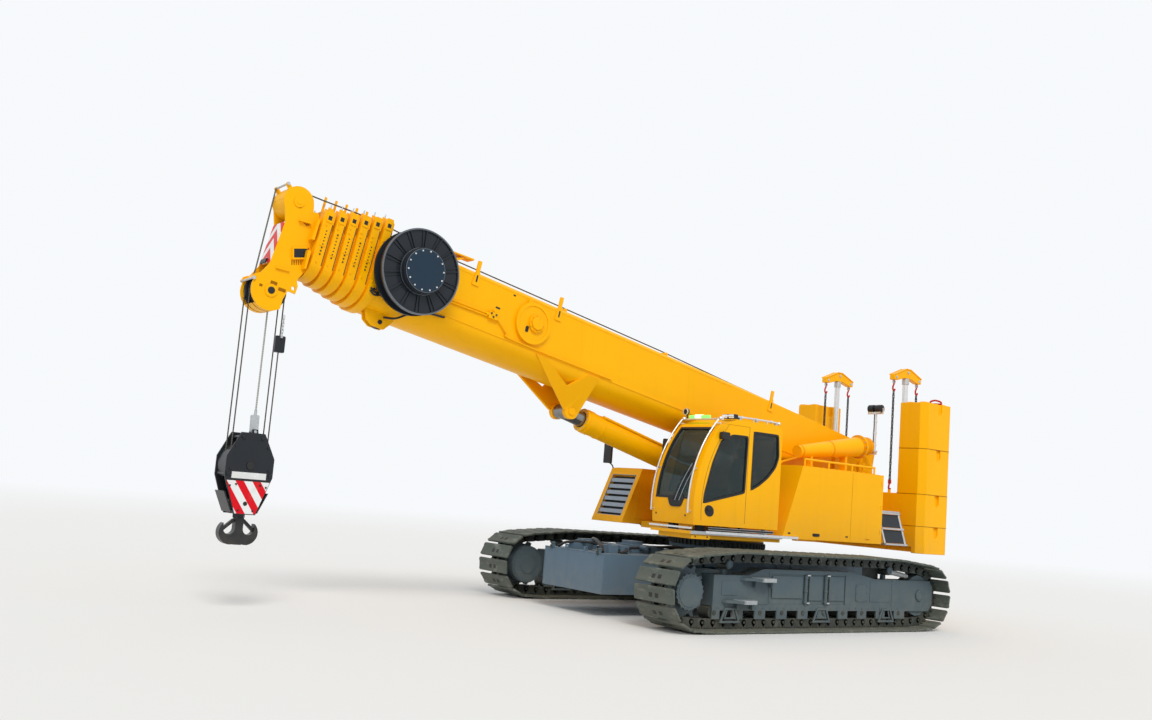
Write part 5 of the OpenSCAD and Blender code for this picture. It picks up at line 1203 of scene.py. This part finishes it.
def rigging():
    """Hoist rope over the boom, down the head and to the block; the stretches that run between two bodies are taken off
    their bodies and stay where they are drawn.
    """
    r = 10.0
    tops = [(11280, 55, 660), (10905, 55, 672), (10755, 55, 680), (10605, 55, 688), (10455, 55, 696),
            (10305, 55, 702), (10155, 55, 706)]
    bodies = ["section_5", "section_5", "section_4", "section_3", "section_2", "section_1", "boom"]
    make("rope_head", "section_5", ("rope", pipe(tops[:2], r, 8)), place=on_boom)
    for k in range(1, 6):
        span = make("rope_span_%d" % k, bodies[k], ("rope", pipe(tops[k:k + 2], r, 8)), place=on_boom)
        blended(span, bodies[k], bodies[k + 1], on_boom(tops[k]) / 1000, on_boom(tops[k + 1]) / 1000)
    base = [(10155, 55, 706), (9000, 50, 645), (6900, 40, 645), (4800, 20, 645), (3300, 0, 620), (-200, 0, 566),
            (-380, 0, 562)]
    make("rope_base", "boom", ("rope", pipe(base, r, 8)), place=on_boom)
    a = np.radians(np.linspace(90, 190, 12))
    wrap = np.stack([-380 + 82 * np.cos(a), 0 * a, 480 + 82 * np.sin(a)], -1)
    make("rope_tail_wrap", "boom", ("rope", pipe(wrap, r, 8)), place=on_boom)
    top, low = on_boom(wrap[-1]), np.array([-3196.0, 0.0, 1800.0])
    blended(make("rope_tail", "superstructure", ("rope", pipe([low, top], r, 8))), "superstructure", "boom",
            low / 1000, top / 1000)
    cheek = rounded([(-470, 400), (-290, 380), (-290, 540), (-380, 575), (-450, 540)], 20)
    wheel = [disc((-380, 0, 480), 66, -14, 14, "y", 32), disc((-380, 0, 480), 22, -52, 52, "y", 20)]
    wheel += [disc((-380, 0, 480), 84, y, y + 6, "y", 32) for y in (-22, 16)]
    make("tail_sheave", "boom", ("yellow", [slab(cheek, y, y + 16) for y in (-46, 30)]), ("sheave", wheel),
         place=on_boom, bevel=2)
    a = np.linspace(0, 2 * math.pi * 14, 14 * 24)
    coil = np.stack([-3000 + 201 * np.cos(a), -300 + a / a[-1] * 600, 1800 + 201 * np.sin(a)], -1)
    make("winch_rope", "superstructure", ("rope", pipe(coil, 11, 6)))
    upper = (HANG_X / 1000, 0, HANG_Z / 1000)
    falls = [pipe([(x, y, 1750), (x, y, HANG_Z)], 9, 8) for x in (-225, 225) for y in (-85, 85)]
    ropes = make("hoist_falls", "falls", ("rope", falls), place=under_hook)
    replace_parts(blended(ropes, "falls", "block", upper, (HANG_X / 1000, 0, 1.75)), "hoist_ropes")
    dead = make("dead_end_rope", "falls", ("pale_rope", pipe([(-60, 0, 2360), (-60, 0, HANG_Z - 60)], 11, 8)),
                place=under_hook)
    blended(dead, "falls", "block", upper, (HANG_X / 1000, 0, 2.36))
    drop = [(11494, -170, 644), (11500, 0, -480), (11530, 85, -650)]
    make("head_front_rope", "section_5", ("rope", pipe(drop, 10, 8)), place=on_boom)
    hanger = [chain((-227, 142, 3640), (-227, 142, 3380), 44, 5, 10), block((-240, -214), (100, 150), (3360, 3392))]
    make("hoist_limit_weight", "falls", ("black", tile((-292, -162), (3180, 3390), 18, 55, 115)), ("zinc", hanger),
         place=under_hook, bevel=4)


def hook():
    """Stripes, bare plate, bolts, sheave guards and dead-end socket of the hook block; latches and nut of the hook."""
    trapezoid = [(-128, 1170), (128, 1170), (272, 1562), (-272, 1562)]
    plates = [block((-215, 215), (y, y + 4), (1590, 1668)) for y in (180, -184)]
    holes = both(disc((0, 0, 1750), 46, 180, 199, "y", 28, 4), disc((10, 0, 1292), 26, 183, 188, "y", 20),
                 [disc((x, 0, z), 16, 180, 184, "y", 16) for x, z in ((-90, 2080), (0, 2095), (90, 2080))])
    places = ((150, 1520), (225, 1500), (90, 1210), (240, 1700), (200, 1980))
    guard = band((0, 1750), (288, 276), (-30, 52), 10)
    foot = [(280, 1430), (262, 1430), (150, 1180), (166, 1180)]
    metal = [[slab([(side * x, z) for x, z in outline], -156, 156) for outline in (guard, foot) for side in (1, -1)],
             [disc((x, 0, z), 22, -200, 200, "y", 16, 3)
              for x, z in ((118, 2090), (-118, 2090), (262, 1640), (-262, 1640))],
             slab([(-118, 1180), (118, 1180), (150, 1330), (-150, 1330)], -154, 154),
             both(studs([(side * x, 184, z) for x, z in places for side in (-1, 1)], "y", 13, 12)),
             [slab([(-120, 2060), (-10, 2060), (-30, 2200), (-100, 2200)], y, y + 18) for y in (-58, 40)]]
    socket = [slab(rounded([(-110, 2170), (-20, 2150), (-10, 2380), (-104, 2380)], 22), -34, 34),
              pipe([(-60, 0, 2360), (-60, 0, 2440)], 18, 12), disc((-66, 0, 2170), 20, -60, 60, "y", 16)]
    make("block_trim", "block", ("black", metal), ("stripe", slab(trapezoid, 180, 184), slab(trapezoid, -184, -180)),
         ("white", plates), ("rubber", holes), ("zinc", socket), place=under_hook, bevel=2)
    latch = [(44, 1076), (68, 1104), (228, 962), (204, 930)]
    latches = [slab(rounded([(side * x, z) for x, z in latch], 10, 3), -24, 24) for side in (1, -1)]
    nut = [disc((0, 0, 0), 78, 1118, 1158, "z", 6), disc((0, 0, 0), 62, 1100, 1119, "z", 32, 4)]
    make("hook_latches", "hook", ("black", latches, nut), place=under_hook, bevel=2)


def cylinder():
    """Gland ring, head flange, pipe unions and base boss of the luffing cylinder."""
    axis = (0, 0, 0)
    length = math.hypot(3385.8 + 2500.0, 2951.9 - 1450.0)
    gland = length - 360.0
    rings = [(122, 180, gland - 46, gland + 4), (176, 187, gland - 160, gland - 60), (176, 186, 430, 520)]
    rings += [(177, 183, x - 18, x + 18) for x in (1600, 3200, gland - 340)]
    union = [pipe(eased([(1500, 129, 153), (1200, 136, 162), (900, 161, 145), (600, 168, 107)]), 19, 10),
             block((555, 640), (142, 192), (98, 136))]
    bolts = studs(circle((gland + 4, 0, 0), 158, 16, "x"), "x", 10, 9)
    make("cylinder_trim", "luff_barrel", ("yellow", [washer(axis, *ring, "x", 56) for ring in rings], union),
         ("zinc", bolts), place=on_ram, bevel=1.5)
    eye = [washer((length, 0, 0), 62, 108, y, y + 3, "y", 40) for y in (110, -113)]
    make("cylinder_eye_trim", "luff_rod", ("yellow", eye), place=on_ram)
    make("cylinder_wiper", "luff_barrel", ("rubber", washer(axis, 115.6, 124, gland + 2, gland + 12, "x", 48)),
         place=on_ram)


# ---- counterweight


def counterweight():
    """Real chains, hooks, ram collars, beam pins, shackles and lifting lugs."""
    x0, x1 = BALLAST_X
    ram_x, lift, ram_y = x0 + 371.0, 4350.0, (-790.0, 790.0)
    chains, hooks, eyes = [], [], []
    for x, y in ((x, y) for y in ram_y for x in (ram_x - 340, ram_x + 340)):
        chains.append(chain((x, y, lift - 270), (x, y, 2420)))
        eyes.append(washer((x, y, lift - 95), 17, 34, -12, 12, "y", 20))
        upper = [(0, lift - 40), (0, lift - 130), (26, lift - 190), (20, lift - 240), (-12, lift - 262),
                 (-34, lift - 226)]
        lower = [(0, 2420), (14, 2370), (22, 2320), (0, 2286), (-24, 2310)]
        hooks += [pipe(eased([(x + dx, y, z) for dx, z in line], 6), r, 8) for line, r in ((upper, 15), (lower, 16))]
        hooks.append(slab(rounded([(x - 24, 2392), (x + 24, 2392), (x + 20, 2470), (x - 20, 2470)], 10),
                          y - 20, y + 20))
    piece = make("ballast_chain_links", "superstructure", ("chain", chains), ("red", hooks), ("zinc", eyes))
    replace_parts(piece, "ballast_chains")
    collars = [[disc((ram_x, y, 0), 64, 4240, 4349, "z", 32, 4), disc((ram_x, y, 0), 72, 2233, 2262, "z", 32, 4)]
               for y in ram_y]
    collars += [disc((x, y, z), 26, -68, 68, "y", 20, 4)
                for y in ram_y for x, z in ((ram_x, lift + 110), (ram_x - 340, lift - 10), (ram_x + 340, lift - 10))]
    edge = [(-400, 28), (-60, 168), (60, 168), (400, 28), (400, 44), (64, 182), (-64, 182), (-400, 44)]
    edge = [(ram_x + x, lift + z) for x, z in edge]
    rims = [slab(edge, y + d - 8, y + d + 8) for y in ram_y for d in (-62, 62)]
    make("ballast_lift_trim", "superstructure", ("zinc", collars), ("yellow", rims), bevel=2)
    front = [(x1 - 110, 1514), (x1, 1404)]
    whole = [(x0, -1514), (x0, 1514), *front, (x1, -1404), (x1 - 110, -1514)]
    seams = [hoop(inset(whole, -1.5), 8, 1665, 1675, "z")]
    for z in (2232, 3039):
        ring = hoop(inset([(x0, 980), (x0, 1514), *front, (x1, 980)], -1.5), 8, z - 5, z + 5, "z")
        seams += [ring, far(ring)]
    make("ballast_seams", "superstructure", ("recess", seams))
    pads = [tile((x, x + 120), (y, y + 120), 20, 3863, 3882, "z") for x in (x0 + 60, x1 - 190)
            for y in (1060, 1330, -1180, -1450)]
    plates = [tile((y, y + 260), (z, z + 180), 30, x0 - 8, x0 + 1, "x") for z in (1330, 1880) for y in (-1350, 1090)]
    bow = [(300, 1300, 3880), (300, 1300, 3925), (250, 1360, 3950), (190, 1430, 3925), (180, 1440, 3880)]
    shackle = [pipe(eased([(x0 + x, y, z) for x, y, z in bow]), 17, 10),
               pipe([(x0 + 300, 1285, 3888), (x0 + 180, 1452, 3888)], 14, 8)]
    make("ballast_tops", "superstructure", ("yellow", pads, plates), ("red", shackle), bevel=4)
    rear = [tile((y, y + 190), (1240, 1310), 16, x0 - 20, x0 + 1, "x") for y in (-1450, 1260)]
    make("rear_lamps", "superstructure", ("red", rear), bevel=3)


def mast():
    """Twin lamps with lenses, their yoke, and the cable down the post."""
    x, y, lamp_z, lamp_r = -3000.0, 790.0, 3700.0, 70.0
    shell = [(16, 62), (48, 54), (70, 20), (lamp_r + 6, -34), (lamp_r + 2, -46)]
    lens = [(lamp_r - 4, -44), (60, -50), (26, -57), (4, -59)]
    heads, lenses = [[turned(line, (x, y + d, lamp_z), "x", 32) for d in (-80, 80)] for line in (shell, lens)]
    bright = [tile((x - 12, x + 12), (3600, lamp_z + 8), 8, y + d - 5, y + d + 5) for d in (-158, -2, 158)]
    bright += [pipe([(x, y - 158, 3612), (x, y + 158, 3612)], 11, 8)]
    bright += [disc((x, 0, lamp_z), 14, y + d - 9, y + d + 9, "y", 12) for d in (-158, 0, 158)]
    bright += [washer((x, y, 0), 27.5, 40, z, z + 18, "z", 20) for z in (3040, 3250, 3460)]
    bright += [disc((x, y, 0), 62, 2925, 2944, "z", 24, 3), studs(circle((x, y, 2944), 46, 4, "z", 0.8), "z", 9, 9)]
    cable = pipe(eased([(x + 33, y, 3600), (x + 36, y + 6, 3400), (x + 32, y - 4, 3200), (x + 34, y, 2960)]), 7, 6)
    make("mast_lamps", "superstructure", ("black", heads), ("lamp", lenses), ("tube", bright), ("hose", cable))


# ---- CAD nodes in their finish


def finish_nodes():
    """Every CAD node that keeps its own shape gets its paint here."""
    for paint, bevel, nodes in (
            ("blue", 0, "car_body"),
            ("rail", 0, "slew_ring left_rollers right_rollers"),
            ("slate", 0, "left_side_frame left_sprocket left_idler left_final_drive"),
            ("slate", 0, "right_side_frame right_sprocket right_idler right_final_drive"),
            ("yellow", 0, "turntable handrails cab_door boom_base luff_barrel"),
            ("yellow", 0, "boom_section_1 boom_section_2 boom_section_3 boom_section_4 boom_section_5"),
            ("yellow", 5, "left_cover right_cover front_cowl"),
            ("yellow", 8, "ballast_beams"),
            ("yellow", 9, "ballast_lower ballast_middle ballast_left ballast_right"),
            ("black", 0, "engine winch"),
            ("black", 4, "hook_block"),
            ("black", 12, "hook"),
            ("zinc", 0, "ladder"),
            ("tube", 0, "ballast_rams cab_rails"),
            ("reel", 0, "cable_reel"),
            ("rod", 0, "luff_rod")):
        for node in nodes.split():
            dressed(node, paint, bevel=bevel)
    dressed("cab_platform", "zinc", ("rubber", lambda p: (p[:, 2] > 1346) & (p[:, 0] > 1500)),
            ("yellow", lambda p: (p[:, 2] < 1340) & (p[:, 0] > 1700)))
    dressed("lamp_mast", "tube", ("black", lambda p: p[:, 2] > 3641))
    dressed("cab_shell", "yellow", ("black", lambda p: p[:, 2] < 1433))
    dressed("cab_glass", "screen",
            ("glass", lambda p: (p[:, 1] > 1470) | (p[:, 1] < 630) | (p[:, 0] < 230) | (p[:, 2] > 3010)))
    dressed("head_sheaves", "sheave", ("yellow", lambda p: p[:, 2] > 4700))
    # slots in the lower sheave's cover let the falls through when the boom is steep
    points, faces = both(slab(band(LOW_SHEAVE, (232, 264), (243, 308), 14), 68, 102))
    dressed("boom_head", "yellow", bevel=4, cut=(on_boom(points), faces))


# ---- studio


def seen_by(tree, *rays):
    """1 for the rays named: the largest of Light Path's outputs."""
    path = tree.nodes.new("ShaderNodeLightPath")
    out = path.outputs[rays[0]]
    for name in rays[1:]:
        most = tree.nodes.new("ShaderNodeMath")
        most.operation = "MAXIMUM"
        tree.links.new(out, most.inputs[0])
        tree.links.new(path.outputs[name], most.inputs[1])
        out = most.outputs[0]
    return out


def studio_floor():
    """A pale round floor that shows the backdrop's colour far out, where only the camera and mirrors see it."""
    radii, n = np.array([6.0, 12, 18, 26, 40, 70, 120, 260]), 64
    a = around(n)
    points = np.concatenate([np.stack([r * np.cos(a), r * np.sin(a), 0 * a], -1) for r in radii])
    i, j = np.meshgrid(np.arange(len(radii) - 1), np.arange(n), indexing="ij")
    quads = np.stack([i * n + j, (i + 1) * n + j, (i + 1) * n + (j + 1) % n, i * n + (j + 1) % n], -1)
    mesh = bpy.data.meshes.new("studio_floor")
    mesh.from_pydata((points - [0, 0, 0.004]).tolist(), [], quads.reshape(-1, 4).tolist() + [list(range(n))])
    floor = bpy.data.objects.new("studio_floor", mesh)
    bpy.context.scene.collection.objects.link(floor)
    f = Finish("floor", Roughness=0.9)
    f.wear((0.80, 0.80, 0.79), 0.9)
    glow = f.tree.nodes.new("ShaderNodeEmission")
    glow.inputs[0].default_value = BACKDROP
    reach = f.add("ShaderNodeVectorMath", {"operation": "LENGTH"}, f.where, out="Value")
    seen = Value(f, seen_by(f.tree, "Is Camera Ray", "Is Glossy Ray"))
    blend = f.tree.nodes.new("ShaderNodeMixShader")
    for source, socket in (((reach.above(14.0, 60.0) * seen).out, blend.inputs[0]),
                           (f.shader.outputs[0], blend.inputs[1]), (glow.outputs[0], blend.inputs[2]),
                           (blend.outputs[0], f.result.inputs[0])):
        f.tree.links.new(source, socket)
    mesh.materials.append(f.material)


def studio_light():
    """An even sky that lights the crane, the backdrop's colour where it is looked at, and one soft sun."""
    world = bpy.data.worlds.new("studio_sky")
    bpy.context.scene.world = world
    world.use_nodes = True
    tree = world.node_tree
    tree.nodes.clear()
    out, pick = tree.nodes.new("ShaderNodeOutputWorld"), tree.nodes.new("ShaderNodeMixShader")
    tree.links.new(seen_by(tree, "Is Camera Ray", "Is Glossy Ray", "Is Transmission Ray"), pick.inputs[0])
    for k, (colour, strength) in enumerate((((0.97, 0.985, 1.0, 1), 0.72), (BACKDROP, 1.0)), 1):
        sky = tree.nodes.new("ShaderNodeBackground")
        sky.inputs[0].default_value, sky.inputs[1].default_value = colour, strength
        tree.links.new(sky.outputs[0], pick.inputs[k])
    tree.links.new(pick.outputs[0], out.inputs[0])
    sun = bpy.data.lights.new("soft_sun", "SUN")
    sun.energy, sun.angle, sun.color = 1.5, math.radians(24), (1.0, 0.97, 0.92)
    lamp = bpy.data.objects.new("soft_sun", sun)
    lamp.rotation_mode = "QUATERNION"
    lamp.rotation_quaternion = Vector((0.30, 0.62, 0.72)).to_track_quat("Z", "Y")
    bpy.context.scene.collection.objects.link(lamp)


def photo_camera():
    """The photograph's camera: its axis, heading and roll were found from the crane's own sizes."""
    forward, heading, roll = np.array([-0.59657, -0.79292, 0.12405]), 0.645, 0.081
    right = np.array([-math.cos(heading), math.sin(heading), 0.0])
    up = np.cross(right, forward)
    x = right * math.cos(roll) + up * math.sin(roll)
    y = -right * math.sin(roll) + up * math.cos(roll)
    x = x / np.linalg.norm(x)
    y = y - x * np.dot(x, y)
    y = y / np.linalg.norm(y)
    camera = bpy.data.cameras.new("photo_camera")
    camera.sensor_width, camera.lens = 36.0, 1096.637 * 36.0 / 1152.0
    camera.clip_end = 600.0
    view = bpy.data.objects.new("photo_camera", camera)
    place = np.eye(4)
    place[:3] = np.stack([x, y, np.cross(x, y), (13.166, 13.209, 1.687)], -1)
    view.matrix_world = Matrix(place.tolist())
    bpy.context.scene.collection.objects.link(view)
    bpy.context.scene.camera = view
    bpy.context.scene.view_settings.view_transform = "Standard"


studio_floor()
studio_light()
photo_camera()
finish_nodes()
tracks()
side_frames()
car_body()
turntable()
house()
platform()
cab()
cab_inside()
boom()
head()
rigging()
hook()
cylinder()
counterweight()
mast()
